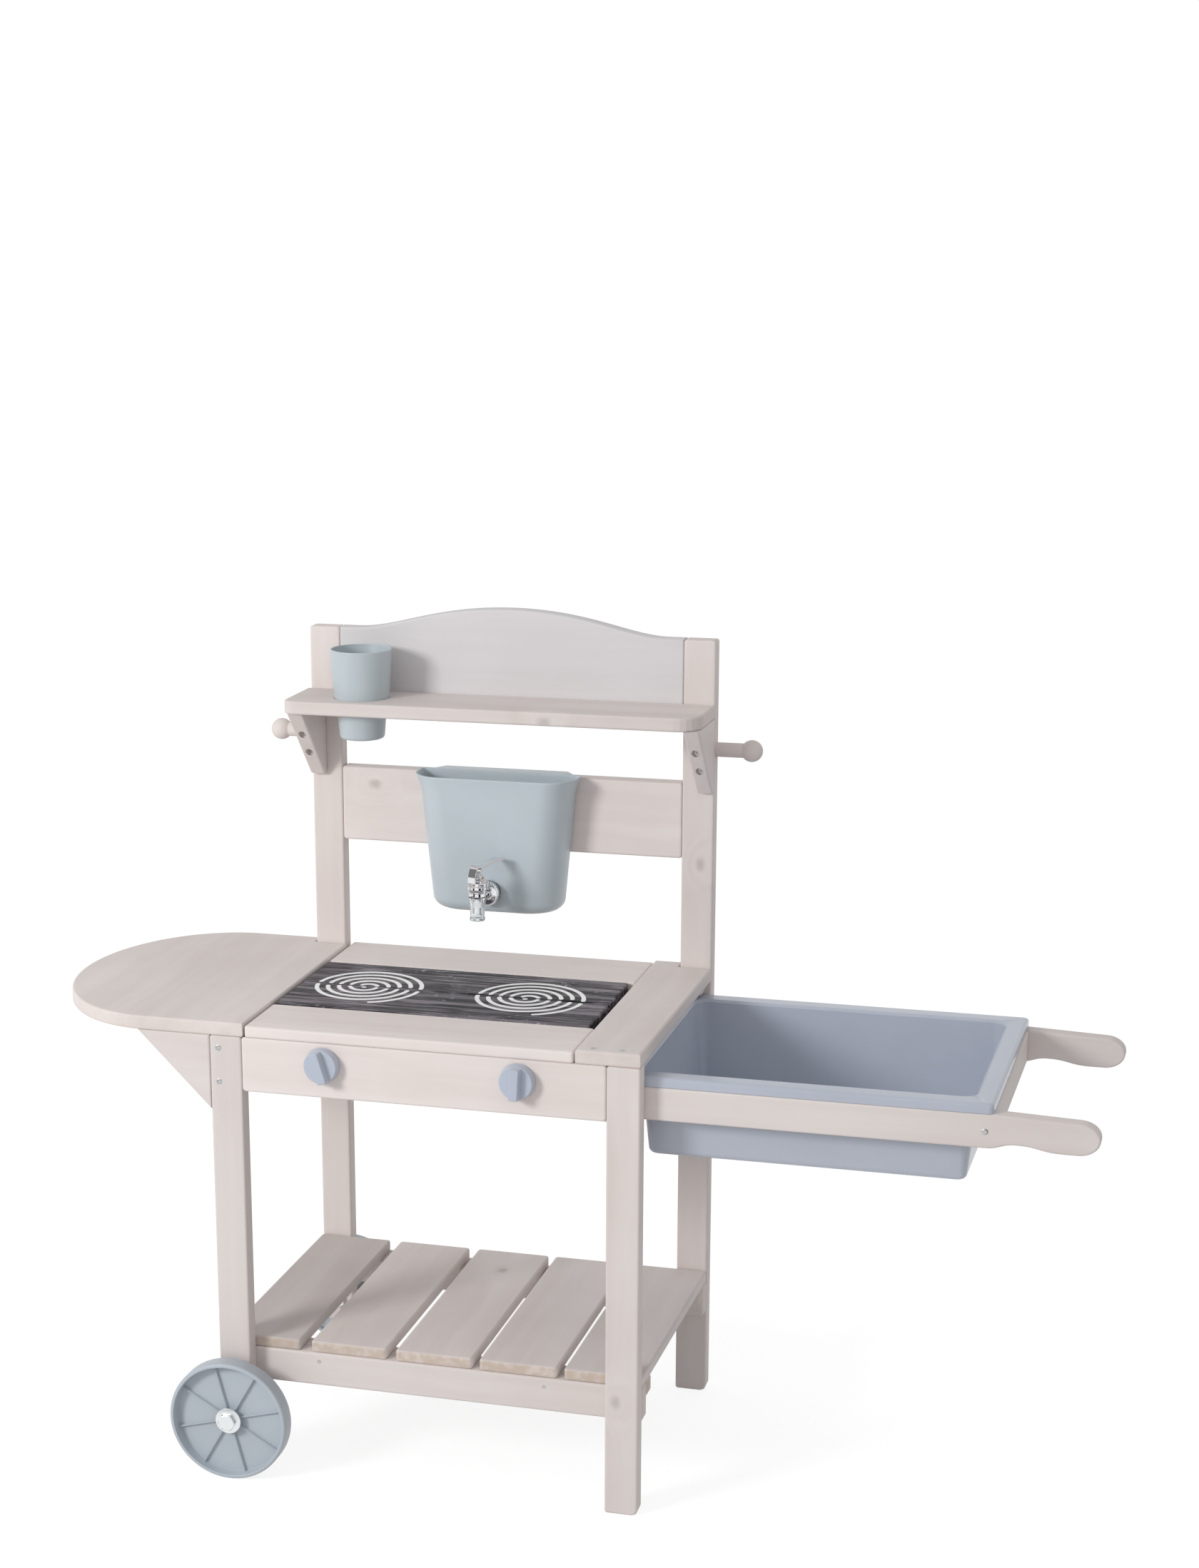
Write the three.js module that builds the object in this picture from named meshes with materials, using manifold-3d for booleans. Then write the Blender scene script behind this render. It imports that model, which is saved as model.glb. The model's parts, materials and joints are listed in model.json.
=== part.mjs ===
// Toy mud kitchen: a wooden stand on two wheels, with a worktop that carries a painted hob,
// a washing-up tub that slides out on two rails with handle ends, a back with a shelf,
// a cup and a hooked-on water tank with a tap.
// Millimetres, +Z up, +Y to the back. Sizes run from the outer face of the left legs (X),
// the front face of the front legs (Y) and the floor (Z). The finished group is then centred.
import * as THREE from "three";
import { mergeVertices } from "three/addons/utils/BufferGeometryUtils.js";
import Module from "manifold-3d";

// Stand
const frameLength = 524;
const frameDepth = 405;
const postHeight = 985;
const backRise = 430;
const stockWidth = 40;
const stockThickness = 22;
const edgeRound = 2.4;
const cornerRound = 3;
const footRound = 7;
const footSide = 2;
const wheelLegEnd = 45;
const apronHeight = 67;
const apronCorner = 4;

// Fits
const runningGap = 0.3;
const railSideGap = 0.5;
const notchGap = 1.5;
const overrun = 1;

// Lower shelf
const lowerRailTop = 154;
const lowerRailHeight = 42;
const cleatWidth = 23;
const cleatHeight = 18;
const slatGaps = [14.1, 11.9, 9.2, 8.8];
const slatThickness = 14;
const slatEndGap = 1.5;
const slatCorner = 4;

// Worktop
const boardThickness = 14;
const boardCount = 4;
const boardGap = 1.7;
const thickBoard = 17;
const endBoardWidth = 77;
const seam = 2;
const hobGap = 10;
const leafStraight = 86;
const leafRound = 155;
const leafBracket = 92;
const battenThickness = 14;
const battenWidth = 40;
const smallRound = 1;
const smallCorner = 1.3;

// Sliding tub and its rails
const railThickness = 21;
const railHeight = 40;
const railOverlap = 52;
const tubReach = 513;
const handleLength = 116;
const handleNose = 24;
const handleDip = 3.5;
const gripStart = 10;
const gripPeak = 34;
const gripLow = 66;
const gripRise = 6;
const crossbarThickness = 21;
const crossbarSetback = 3;
const rimClearance = 2;
const lipDrop = 11.5;
const lipInset = 1.5;
const lipSideGap = 1;
const lipRound = 4;
const lipCorner = 5.5;
const lipSkirt = 2.5;
const tubEndGap = 1.5;
const tubSideGap = 2.5;
const tubDepth = 105;
const tubTaper = 11;
const tubWall = 2.5;
const tubCorner = 18;
const tubFootCorner = 8;
const tubBottomRound = 8;
const tubMouthRound = 3;
const guideThickness = 6;
const guideWidth = 11.5;
const guideBlockLength = 30;
const guideBlockHeight = 40;
const shoeLength = 38;
const stopLength = 20;
const stopHeight = 22;

// Back
const crestHeight = 100;
const crestRise = 29;
const crestFlat = 22;
const crestEaseShare = 0.25;
const crestSwellShare = 0.5;
const middleBoardDrop = 178.5;
const middleBoardHeight = 95.5;
const shelfDrop = 79;
const shelfThickness = 17;
const shelfDepth = 100;
const shelfOverhang = 4;
const shelfLeftCorner = 15;
const shelfRightCorner = 30;
const shelfBracketWidth = 20;
const shelfBracketDepth = 93;
const shelfBracketDrop = 92;
const shelfBracketFoot = 8;
const counterboreRadius = 5;
const counterboreDrops = [32, 59];
const counterboreSeat = 13;
const pegDrop = 136;
const pegRadius = 9;
const pegBall = 13.5;
const pegStem = 44.5;
const pegSocket = 15;

// Cup
const cupFromLeft = 85;
const cupHang = 54;
const cupHeight = 115;
const cupBaseRadius = 31.5;
const cupRimRadius = 37.6;
const cupWall = 2;
const cupFootRound = 4.5;
const cupRimRoll = 1.5;
const cupFit = 0.35;
const holeEase = 1.2;

// Water tank
const tankCentre = 252;
const tankHang = 168.5;
const tankHeight = 172.5;
const tankLength = 199;
const tankDepth = 59;
const tankTaper = 16;
const tankFrontTaper = 6;
const tankWall = 2.2;
const tankCorner = 38;
const tankBackCorner = 6;
const tankBottomRound = 14;
const tankEndFlare = 5.5;
const tankFrontFlare = 1.5;
const flareShare = 0.3;
const tankFlareDrop = 30;
const tankBackGap = 0.4;
const hookLength = 196;
const hookThickness = 2.2;
const hookTaper = 18;
const hookLip = 2.2;
const hookDrop = 12;
const hookRoot = 6;

// Tap
const tapCentre = 251;
const tapRise = 29;
const stemRadius = 5;
const stemInside = 14;
const collarRadius = 15.5;
const collarWidth = 11;
const collarKnurl = 0.8;
const sealThickness = 2;
const lockNutRadius = 12;
const lockNutThickness = 6;
const neckRadius = 5.2;
const barrelReach = 54;
const barrelRadius = 12;
const barrelFoot = 10;
const barrelTop = 23;
const barrelBottom = 5;
const barrelBand = 10;
const barrelShoulder = 2;
const barrelRing = 0.8;
const nippleRadius = 6;
const nippleLength = 9;
const spoutRadius = 9.6;
const spoutBore = 6.6;
const spoutLength = 17.7;
const leverPivotRise = 8.2;
const leverHub = 4.5;
const leverPin = 2;
const leverWidth = 11;
const leverPlate = 1.8;
const leverFront = 12;
const leverFoot = 7.6;
const leverLean = 6.5;
const leverTop = 10.5;
const leverRoll = 2;
const leverRise = 14;
const leverCrown = 9;
const leverBend = 8;
const leverTail = 44;
const leverTailWidth = 12;
const leverRootShare = 0.45;
const headSwivel = 22;
const earThickness = 2.5;
const earBack = 8;

// Knobs
const knobDrop = 25.5;
const knobCentres = [142, 379.6];
const knobTilts = [-17, 3];
const knobRadius = 20;
const knobDisc = 6;
const knobRim = 1.5;
const knobGripHeight = 19;
const knobGripTop = 8;
const knobGripBase = 16;
const knobBoss = 6;
const knobScrewHead = 8;
const knobScrewHeadThickness = 3.5;
const knobScrewShank = 2;
const knobScrewLength = 16;
const knobScrewTip = 3;
const knobRecess = 7;

// Wheels
const wheelRadius = 75;
const wheelWidth = 24;
const wheelGap = 9;
const wheelRim = 5;
const wheelEdge = 2;
const webThickness = 3;
const webRecess = 13;
const hubRadius = 12;
const hubStandOut = 4.3;
const ribCount = 8;
const ribThickness = 1.8;
const ribPhaseShare = 0.67;
const ribHeight = 9;
const axleRadius = 4;
const axleHead = 9.8;
const axleHeadThickness = 6;
const axleTail = 2;
const axleNutThickness = 6.5;
const washerRadius = 14;
const washerThickness = 2;

// Facets
const edgeSteps = 2;
const hexSides = 6;
const smallSides = 12;
const roundSides = 18;
const knobSides = 30;
const cupSides = 26;
const wheelSides = 36;
const cornerSteps = 5;
const roundSteps = 3;
const lipSteps = 2;
const leafSteps = 12;
const crestSteps = 5;
const shelfSteps = 3;
const railSteps = 4;
const leverSteps = 3;

// Colours
const limedWood = { color: 0xcdbfb8, roughness: 0.75, metalness: 0 };
const blackStain = { color: 0x2b2a2c, roughness: 0.7, metalness: 0 };
const tubPlastic = { color: 0xb4b4c6, roughness: 0.45, metalness: 0 };
const tankPlastic = { color: 0xb3c0c4, roughness: 0.45, metalness: 0 };
const zinc = { color: 0xb9bcc0, roughness: 0.4, metalness: 1 };
const chrome = { color: 0xe4e6e9, roughness: 0.08, metalness: 1 };
const clearPlastic = { color: 0xe8eef0, roughness: 0.1, metalness: 0 };
const sealRubber = { color: 0x2f3033, roughness: 0.8, metalness: 0 };

// Places that follow from the sizes
const worktopUnderside = postHeight - backRise;
const middleBoardTop = postHeight - middleBoardDrop;
const shelfTop = postHeight - shelfDrop;
const pegHeight = postHeight - pegDrop;
const cupBaseZ = shelfTop - cupHang;
const tankBottom = middleBoardTop - tankHang;
const knobHeight = worktopUnderside - knobDrop;
const rightLeg = frameLength - stockWidth;
const backPlane = frameDepth - stockThickness;
const apronBottom = worktopUnderside - apronHeight;
const middleDepth = frameDepth / 2;
const guideUnderside = worktopUnderside - battenThickness;
const lipTop = guideUnderside - rimClearance;
const railTop = lipTop - lipDrop;
const railBottom = railTop - railHeight;
const railFront = stockThickness + railSideGap;
const railBack = frameDepth - railFront - railThickness;
const railInnerEnd = rightLeg - railOverlap;
const railOuterEnd = frameLength + tubReach;
const rightCrossbar = railOuterEnd - handleLength - crossbarThickness;
const leftCrossbar = rightLeg + crossbarSetback;
const leafLeft = -leafStraight - leafRound;
const blockLeft = leftCrossbar - runningGap - smallRound;

const wasm = await Module();
wasm.setup();

// Merges shared corners and drops the triangles that closed up at a pole
function welded(geometry) {
  const bare = geometry.clone();
  bare.deleteAttribute("normal");
  bare.deleteAttribute("uv");
  const merged = mergeVertices(bare);
  const corners = merged.index.array;
  const kept = [];
  for (let i = 0; i < corners.length; i += 3) {
    const [a, b, c] = corners.slice(i, i + 3);
    if (a !== b && b !== c && c !== a) kept.push(a, b, c);
  }
  merged.setIndex(kept);
  return merged;
}

function solid(geometry) {
  const closed = welded(geometry);
  return new wasm.Manifold(new wasm.Mesh({
    numProp: 3,
    vertProperties: new Float32Array(closed.attributes.position.array),
    triVerts: new Uint32Array(closed.index.array),
  }));
}

function surface(manifold) {
  const mesh = manifold.getMesh();
  const geometry = new THREE.BufferGeometry();
  geometry.setAttribute("position", new THREE.BufferAttribute(mesh.vertProperties, 3));
  geometry.setIndex(new THREE.BufferAttribute(mesh.triVerts, 1));
  return geometry;
}

function joined(...geometries) {
  return surface(geometries.map(solid).reduce((whole, part) => whole.add(part)));
}

function cut(geometry, ...tools) {
  return surface(tools.map(solid).reduce((whole, tool) => whole.subtract(tool), solid(geometry)));
}

function common(geometry, other) {
  return surface(solid(geometry).intersect(solid(other)));
}

// Rectangle from the origin; corner radii run from lower left, anticlockwise
function outline(width, height, [a, b, c, d]) {
  const shape = new THREE.Shape();
  shape.moveTo(a, 0);
  shape.lineTo(width - b, 0);
  shape.absarc(width - b, b, b, -Math.PI / 2, 0);
  shape.lineTo(width, height - c);
  shape.absarc(width - c, height - c, c, 0, Math.PI / 2);
  shape.lineTo(d, height);
  shape.absarc(d, height - d, d, Math.PI / 2, Math.PI);
  shape.lineTo(0, a);
  shape.absarc(a, a, a, Math.PI, Math.PI * 1.5);
  return shape;
}

// Closed outline of straight stretches
function polygon(points) {
  return new THREE.Shape(points.map(([x, y]) => new THREE.Vector2(x, y)));
}

// Extrudes an outline along +Z from zero, with rounded edges
function slab(shape, thickness, round = edgeRound, steps = edgeSteps, curveSegments = 1) {
  const geometry = new THREE.ExtrudeGeometry(shape, {
    depth: thickness - 2 * round,
    bevelEnabled: round > 0,
    bevelThickness: round,
    bevelSize: round,
    bevelOffset: -round,
    bevelSegments: steps,
    curveSegments,
    steps: 1,
  });
  return geometry.translate(0, 0, round);
}

// Stands an outline drawn in X and Z upright, its thickness running to the back
function upright(geometry, thickness) {
  const turn = new THREE.Matrix4().makeBasis(
    new THREE.Vector3(1, 0, 0), new THREE.Vector3(0, 0, 1), new THREE.Vector3(0, -1, 0));
  return geometry.applyMatrix4(turn).translate(0, thickness, 0);
}

// Stands an outline drawn in Y and Z sideways, its thickness running to the right
function sideways(geometry) {
  const turn = new THREE.Matrix4().makeBasis(
    new THREE.Vector3(0, 1, 0), new THREE.Vector3(0, 0, 1), new THREE.Vector3(1, 0, 0));
  return geometry.applyMatrix4(turn);
}

// Bar of wood of a given size, rounded along every edge; its thinnest side is the extruded one
function bar([length, depth, height], { corner = cornerRound, round = edgeRound, steps = edgeSteps } = {}) {
  const corners = [].concat(corner, corner, corner, corner).slice(0, 4);
  const thin = Math.min(length, depth, height);
  if (thin === height) return slab(outline(length, depth, corners), height, round, steps);
  if (thin === depth) return upright(slab(outline(length, height, corners), depth, round, steps), depth);
  return sideways(slab(outline(depth, height, corners), length, round, steps));
}

// Turned piece about +Y from a profile of radius and height, anticlockwise
function turned(profile, sides) {
  return new THREE.LatheGeometry(profile.map(([r, y]) => new THREE.Vector2(r, y)), sides);
}

function turnedUpright(profile, sides) {
  return turned(profile, sides).rotateX(Math.PI / 2);
}

function rod(radius, from, to, sides) {
  return turned([[0, from], [radius, from], [radius, to], [0, to]], sides);
}

function ring(inner, outer, from, to, sides) {
  return turned([[inner, from], [outer, from], [outer, to], [inner, to], [inner, from]], sides);
}

const plain = { round: smallRound, corner: smallCorner, steps: 1 };

function add(group, name, geometry, finish, place = [0, 0, 0]) {
  const mesh = new THREE.Mesh(welded(geometry), new THREE.MeshStandardMaterial(finish));
  mesh.name = name;
  mesh.position.set(...place);
  group.add(mesh);
  return mesh;
}

// Moves each corner of a geometry to where a rule puts it
function reshaped(geometry, rule) {
  const corners = geometry.attributes.position;
  for (let i = 0; i < corners.count; i++) {
    corners.setXYZ(i, ...rule(corners.getX(i), corners.getY(i), corners.getZ(i)));
  }
  return geometry;
}

function behind(y, depth) {
  return frameDepth - y - depth;
}

function placed(geometry, at, outward) {
  const turn = new THREE.Quaternion().setFromUnitVectors(
    new THREE.Vector3(0, 1, 0), new THREE.Vector3(...outward));
  return geometry.applyQuaternion(turn).translate(...at);
}

function bore(mesh, tool) {
  const local = tool.clone().translate(...mesh.position.clone().negate().toArray());
  mesh.geometry = cut(mesh.geometry, local);
}

const toFront = [0, -1, 0];

const kitchen = new THREE.Group();
const stand = new THREE.Group();
kitchen.add(stand);

// Legs and posts. The two left ones stop short of the floor, behind the wheels.
function makeLegs() {
  const shortLeg = worktopUnderside - wheelLegEnd;
  const outerFoot = [cornerRound, footRound, cornerRound, cornerRound];
  return {
    frontLeft: add(stand, "leg_front_left", bar([stockWidth, stockThickness, shortLeg]),
      limedWood, [0, 0, wheelLegEnd]),
    frontRight: add(stand, "leg_front_right",
      bar([stockWidth, stockThickness, worktopUnderside], { corner: outerFoot }),
      limedWood, [rightLeg, 0, 0]),
    backLeft: add(stand, "post_back_left", bar([stockWidth, stockThickness, postHeight - wheelLegEnd]),
      limedWood, [0, backPlane, wheelLegEnd]),
    backRight: add(stand, "post_back_right",
      bar([stockWidth, stockThickness, postHeight], { corner: outerFoot }),
      limedWood, [rightLeg, backPlane, 0]),
  };
}

function makeAprons() {
  const between = rightLeg - stockWidth;
  const lowCorners = { corner: [apronCorner, apronCorner, cornerRound, cornerRound] };
  return {
    front: add(stand, "front_apron", bar([between, stockThickness, apronHeight], lowCorners),
      limedWood, [stockWidth, 0, apronBottom]),
    back: add(stand, "back_apron", bar([between, stockThickness, apronHeight], lowCorners),
      limedWood, [stockWidth, backPlane, apronBottom]),
    left: add(stand, "side_apron_left",
      bar([stockThickness, backPlane - stockThickness, apronHeight], lowCorners),
      limedWood, [0, stockThickness, apronBottom]),
  };
}

// Two rails behind the legs carry cleats and five loose-spaced slats
function makeLowerShelf() {
  const railSize = [frameLength, stockThickness, lowerRailHeight];
  const cleatSize = [frameLength, cleatWidth, cleatHeight];
  const railY = stockThickness;
  const cleatY = railY + stockThickness;
  const sides = [
    ["front", railY, cleatY],
    ["back", behind(railY, stockThickness), behind(cleatY, cleatWidth)],
  ];
  for (const [side, rail, cleat] of sides) {
    add(stand, `lower_rail_${side}`, bar(railSize), limedWood, [0, rail, lowerRailTop - lowerRailHeight]);
    add(stand, `slat_cleat_${side}`, bar(cleatSize, plain), limedWood,
      [0, cleat, lowerRailTop - cleatHeight]);
  }

  const slatLength = frameDepth - 2 * (stockThickness + slatEndGap);
  const slatWidth = (frameLength - slatGaps.reduce((sum, gap) => sum + gap)) / (slatGaps.length + 1);
  let x = 0;
  for (const [i, gap] of [...slatGaps, 0].entries()) {
    add(stand, `slat_${i + 1}`, bar([slatWidth, slatLength, slatThickness], { corner: slatCorner }),
      limedWood, [x, stockThickness + slatEndGap, lowerRailTop]);
    x += slatWidth + gap;
  }
}

// Rounded leaf over the left legs, notched round the back post
function leafOutline() {
  const right = stockWidth + seam;
  const shape = new THREE.Shape();
  shape.moveTo(right, 0);
  shape.lineTo(right, backPlane - notchGap);
  shape.lineTo(-notchGap, backPlane - notchGap);
  shape.lineTo(-notchGap, frameDepth);
  shape.lineTo(-leafStraight, frameDepth);
  shape.absellipse(-leafStraight, middleDepth, leafRound, middleDepth, Math.PI / 2, Math.PI * 1.5);
  shape.lineTo(right, 0);
  return shape;
}

function makeWorktop() {
  const boardDepth = (frameDepth - (boardCount - 1) * boardGap) / boardCount;
  const boardLeft = stockWidth + 2 * seam;
  const endBoardLeft = frameLength - endBoardWidth;
  const boardLength = endBoardLeft - seam - boardLeft;
  const hobLength = endBoardLeft - hobGap - boardLeft;
  const boards = [
    ["worktop_board_front", boardLength, limedWood],
    ["hob_board_front", hobLength, blackStain],
    ["hob_board_back", hobLength, blackStain],
    ["worktop_board_back", boardLength, limedWood],
  ];
  boards.forEach(([name, length, finish], i) => {
    add(stand, name, bar([length, boardDepth, boardThickness]), finish,
      [boardLeft, i * (boardDepth + boardGap), worktopUnderside]);
  });

  add(stand, "leaf_board", slab(leafOutline(), thickBoard, edgeRound, edgeSteps, leafSteps),
    limedWood, [0, 0, worktopUnderside]);
  const notchLeft = endBoardWidth - stockWidth - notchGap;
  add(stand, "end_board_right", slab(polygon([
    [0, 0],
    [endBoardWidth, 0],
    [endBoardWidth, backPlane - notchGap],
    [notchLeft, backPlane - notchGap],
    [notchLeft, frameDepth],
    [0, frameDepth],
  ]), thickBoard), limedWood, [endBoardLeft, 0, worktopUnderside]);

  const battenY = 2 * stockThickness;
  const battenSize = [battenWidth, frameDepth - 2 * battenY, battenThickness];
  const battens = [
    ["worktop_batten_left", stockThickness],
    ["worktop_batten_right", endBoardLeft - battenWidth / 2],
  ];
  for (const [name, x] of battens) {
    add(stand, name, bar(battenSize, plain), blackStain, [x, battenY, guideUnderside]);
  }

  const triangle = polygon([[-leafBracket, 0], [0, -leafBracket], [0, 0]]);
  const bracket = upright(slab(triangle, stockThickness), stockThickness);
  add(stand, "leaf_bracket_front", bracket.clone(), limedWood, [0, 0, worktopUnderside]);
  add(stand, "leaf_bracket_back", bracket.clone(), limedWood, [0, backPlane, worktopUnderside]);
}

// Fixed runners: a batten above each rail, and below it a strip that ends in a block behind the leg
function makeRunners() {
  const upperSize = [blockLeft + guideBlockLength - stockThickness, stockThickness, battenThickness];
  const lowerSize = [blockLeft - footSide + overrun, guideWidth, guideThickness];
  const blockSize = [guideBlockLength, stockThickness, guideBlockHeight];
  const upper = bar(upperSize, plain);
  const block = bar(blockSize, plain).translate(blockLeft, 0, -guideBlockHeight);
  const strip = bar(lowerSize, plain).translate(footSide, 0, -guideThickness);
  const stripBack = stockThickness - guideWidth;
  const lower = {
    front: joined(block, strip),
    back: joined(block, strip.clone().translate(0, stripBack, 0)),
  };
  const guideTop = railBottom - runningGap;
  for (const [side, y] of [["front", stockThickness], ["back", behind(stockThickness, stockThickness)]]) {
    add(stand, `upper_guide_${side}`, upper.clone(), limedWood, [stockThickness, y, guideUnderside]);
    add(stand, `lower_guide_${side}`, lower[side], limedWood, [0, y, guideTop]);
  }
}

function crestOutline() {
  const length = rightLeg - stockWidth;
  const half = length / 2;
  const swell = half - crestFlat;
  const ease = swell * crestEaseShare;
  const flat = swell * crestSwellShare;
  const top = crestHeight + crestRise;
  const shape = new THREE.Shape();
  shape.moveTo(0, 0);
  shape.lineTo(length, 0);
  shape.lineTo(length, crestHeight);
  shape.lineTo(half + swell, crestHeight);
  shape.bezierCurveTo(half + swell - ease, crestHeight, half + flat, top, half, top);
  shape.bezierCurveTo(half - flat, top, half - swell + ease, crestHeight, half - swell, crestHeight);
  shape.lineTo(0, crestHeight);
  return shape;
}

// Radius of the cup's outside at a height, on its straight side below the rolled rim
function cupRadiusAt(z) {
  const climb = (z - cupBaseZ - cupFootRound) / (cupHeight - 2 * cupRimRoll - cupFootRound);
  return cupBaseRadius + (cupRimRadius - cupRimRoll - cupBaseRadius) * climb;
}

function makeBack(legs) {
  const between = rightLeg - stockWidth;
  add(stand, "crest_board", upright(slab(crestOutline(), stockThickness, edgeRound, edgeSteps, crestSteps),
    stockThickness), limedWood, [stockWidth, backPlane, postHeight - crestHeight]);
  add(stand, "middle_board", bar([between, stockThickness, middleBoardHeight]), limedWood,
    [stockWidth, backPlane, middleBoardTop - middleBoardHeight]);

  const shelf = outline(frameLength + shelfOverhang, shelfDepth,
    [shelfLeftCorner, shelfRightCorner, cornerRound, cornerRound]);
  const holeRadius = cupRadiusAt(shelfTop - holeEase) + cupFit;
  const cupHole = turnedUpright([
    [0, -overrun],
    [holeRadius, -overrun],
    [holeRadius, shelfThickness - holeEase],
    [holeRadius + holeEase, shelfThickness],
    [holeRadius + holeEase, shelfThickness + overrun],
    [0, shelfThickness + overrun],
  ], cupSides).translate(cupFromLeft + shelfOverhang, shelfDepth / 2, 0);
  const board = slab(shelf, shelfThickness, edgeRound, edgeSteps, shelfSteps);
  add(stand, "upper_shelf", cut(board, cupHole), limedWood,
    [-shelfOverhang, backPlane - shelfDepth, shelfTop - shelfThickness]);

  const shelfUnder = shelfTop - shelfThickness;
  const wedge = polygon([
    [-shelfBracketDepth, 0],
    [-shelfBracketFoot, -shelfBracketDrop],
    [0, -shelfBracketDrop],
    [0, 0],
  ]);
  const sides = [
    ["shelf_bracket_left", 0],
    ["shelf_bracket_right", frameLength - shelfBracketWidth],
  ];
  for (const [name, x] of sides) {
    const bracket = add(stand, name, sideways(slab(wedge, shelfBracketWidth)), limedWood,
      [x, backPlane, shelfUnder]);
    for (const drop of counterboreDrops) {
      const seat = [x + shelfBracketWidth / 2, backPlane - counterboreSeat, shelfUnder - drop];
      bore(bracket, placed(rod(counterboreRadius, 0, shelfBracketDepth, smallSides), seat, toFront));
    }
  }

  // Round-headed pegs, glued into the posts' outer faces
  const fitted = pegRadius + runningGap;
  const pegs = [
    ["peg_left", 0, -1, legs.backLeft],
    ["peg_right", frameLength, 1, legs.backRight],
  ];
  const ballSteps = smallSides / 2;
  const neckAngle = Math.asin(pegRadius / pegBall);
  for (const [name, x, side, post] of pegs) {
    const profile = [[0, -pegSocket + runningGap], [pegRadius, -pegSocket + runningGap]];
    for (let i = 0; i <= ballSteps; i++) {
      const angle = Math.PI - neckAngle - i * (Math.PI - neckAngle) / ballSteps;
      profile.push([pegBall * Math.sin(angle), pegStem + pegBall * Math.cos(angle)]);
    }
    profile[profile.length - 1][0] = 0;
    const centre = [x, backPlane + stockThickness / 2, pegHeight];
    add(stand, name, turned(profile, smallSides).rotateZ(-side * Math.PI / 2), limedWood, centre);
    bore(post, placed(rod(fitted, -pegSocket, overrun, smallSides), centre, [side, 0, 0]));
  }
}

// Cup with a small rolled rim, standing in the shelf's hole
function makeCup() {
  const cup = new THREE.Group();
  cup.position.set(cupFromLeft, backPlane - shelfDepth / 2, cupBaseZ);
  kitchen.add(cup);
  const inner = cupRimRadius - cupWall;
  const foot = [];
  quarter(roundSteps, (out, rise) => {
    foot.push([cupBaseRadius - cupFootRound * (1 - out), cupFootRound * (1 - rise)]);
  });
  add(cup, "cup", turnedUpright([
    [0, 0],
    ...foot,
    [cupRimRadius - cupRimRoll, cupHeight - 2 * cupRimRoll],
    [cupRimRadius, cupHeight - cupRimRoll],
    [cupRimRadius - cupRimRoll / 2, cupHeight],
    [inner, cupHeight],
    [inner - cupRimRoll, cupHeight - 2 * cupRimRoll],
    [cupBaseRadius - cupWall, cupFootRound],
    [cupBaseRadius - cupFootRound, cupWall],
    [0, cupWall],
  ], cupSides), tankPlastic);
}

// One level of a vessel: a rounded rectangle, front to back, with its front and back corner radii
function level(left, right, front, back, frontCorner, backCorner, z) {
  const corners = [
    [right - frontCorner, front + frontCorner, frontCorner, -Math.PI / 2],
    [right - backCorner, back - backCorner, backCorner, 0],
    [left + backCorner, back - backCorner, backCorner, Math.PI / 2],
    [left + frontCorner, front + frontCorner, frontCorner, Math.PI],
  ];
  const points = [];
  for (const [x, y, radius, start] of corners) {
    for (let i = 0; i <= cornerSteps; i++) {
      const angle = start + (i / cornerSteps) * Math.PI / 2;
      points.push([x + radius * Math.cos(angle), y + radius * Math.sin(angle), z]);
    }
  }
  return points;
}

// Closed skin through levels that climb the outside and come down the inside
function vessel(levels) {
  const count = levels[0].length;
  const centreOf = (points) => [
    points.reduce((sum, point) => sum + point[0], 0) / count,
    points.reduce((sum, point) => sum + point[1], 0) / count,
    points[0][2],
  ];
  const vertices = [...levels.flat(), centreOf(levels[0]), centreOf(levels.at(-1))];
  const bottom = count * levels.length;
  const floor = bottom + 1;
  const last = bottom - count;
  const triangles = [];
  for (let j = 0; j < count; j++) {
    const next = (j + 1) % count;
    triangles.push(bottom, next, j, floor, last + j, last + next);
    for (let i = 0; i < levels.length - 1; i++) {
      const here = i * count;
      const above = here + count;
      triangles.push(here + j, here + next, above + next, here + j, above + next, above + j);
    }
  }
  const geometry = new THREE.BufferGeometry();
  geometry.setAttribute("position", new THREE.Float32BufferAttribute(vertices.flat(), 3));
  geometry.setIndex(triangles);
  return geometry;
}

// Quarter round from one inset and rise to another, as shares of its radius
function quarter(steps, visit) {
  for (let i = 0; i <= steps; i++) {
    const angle = (i / steps) * Math.PI / 2;
    visit(Math.sin(angle), Math.cos(angle));
  }
}

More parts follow.
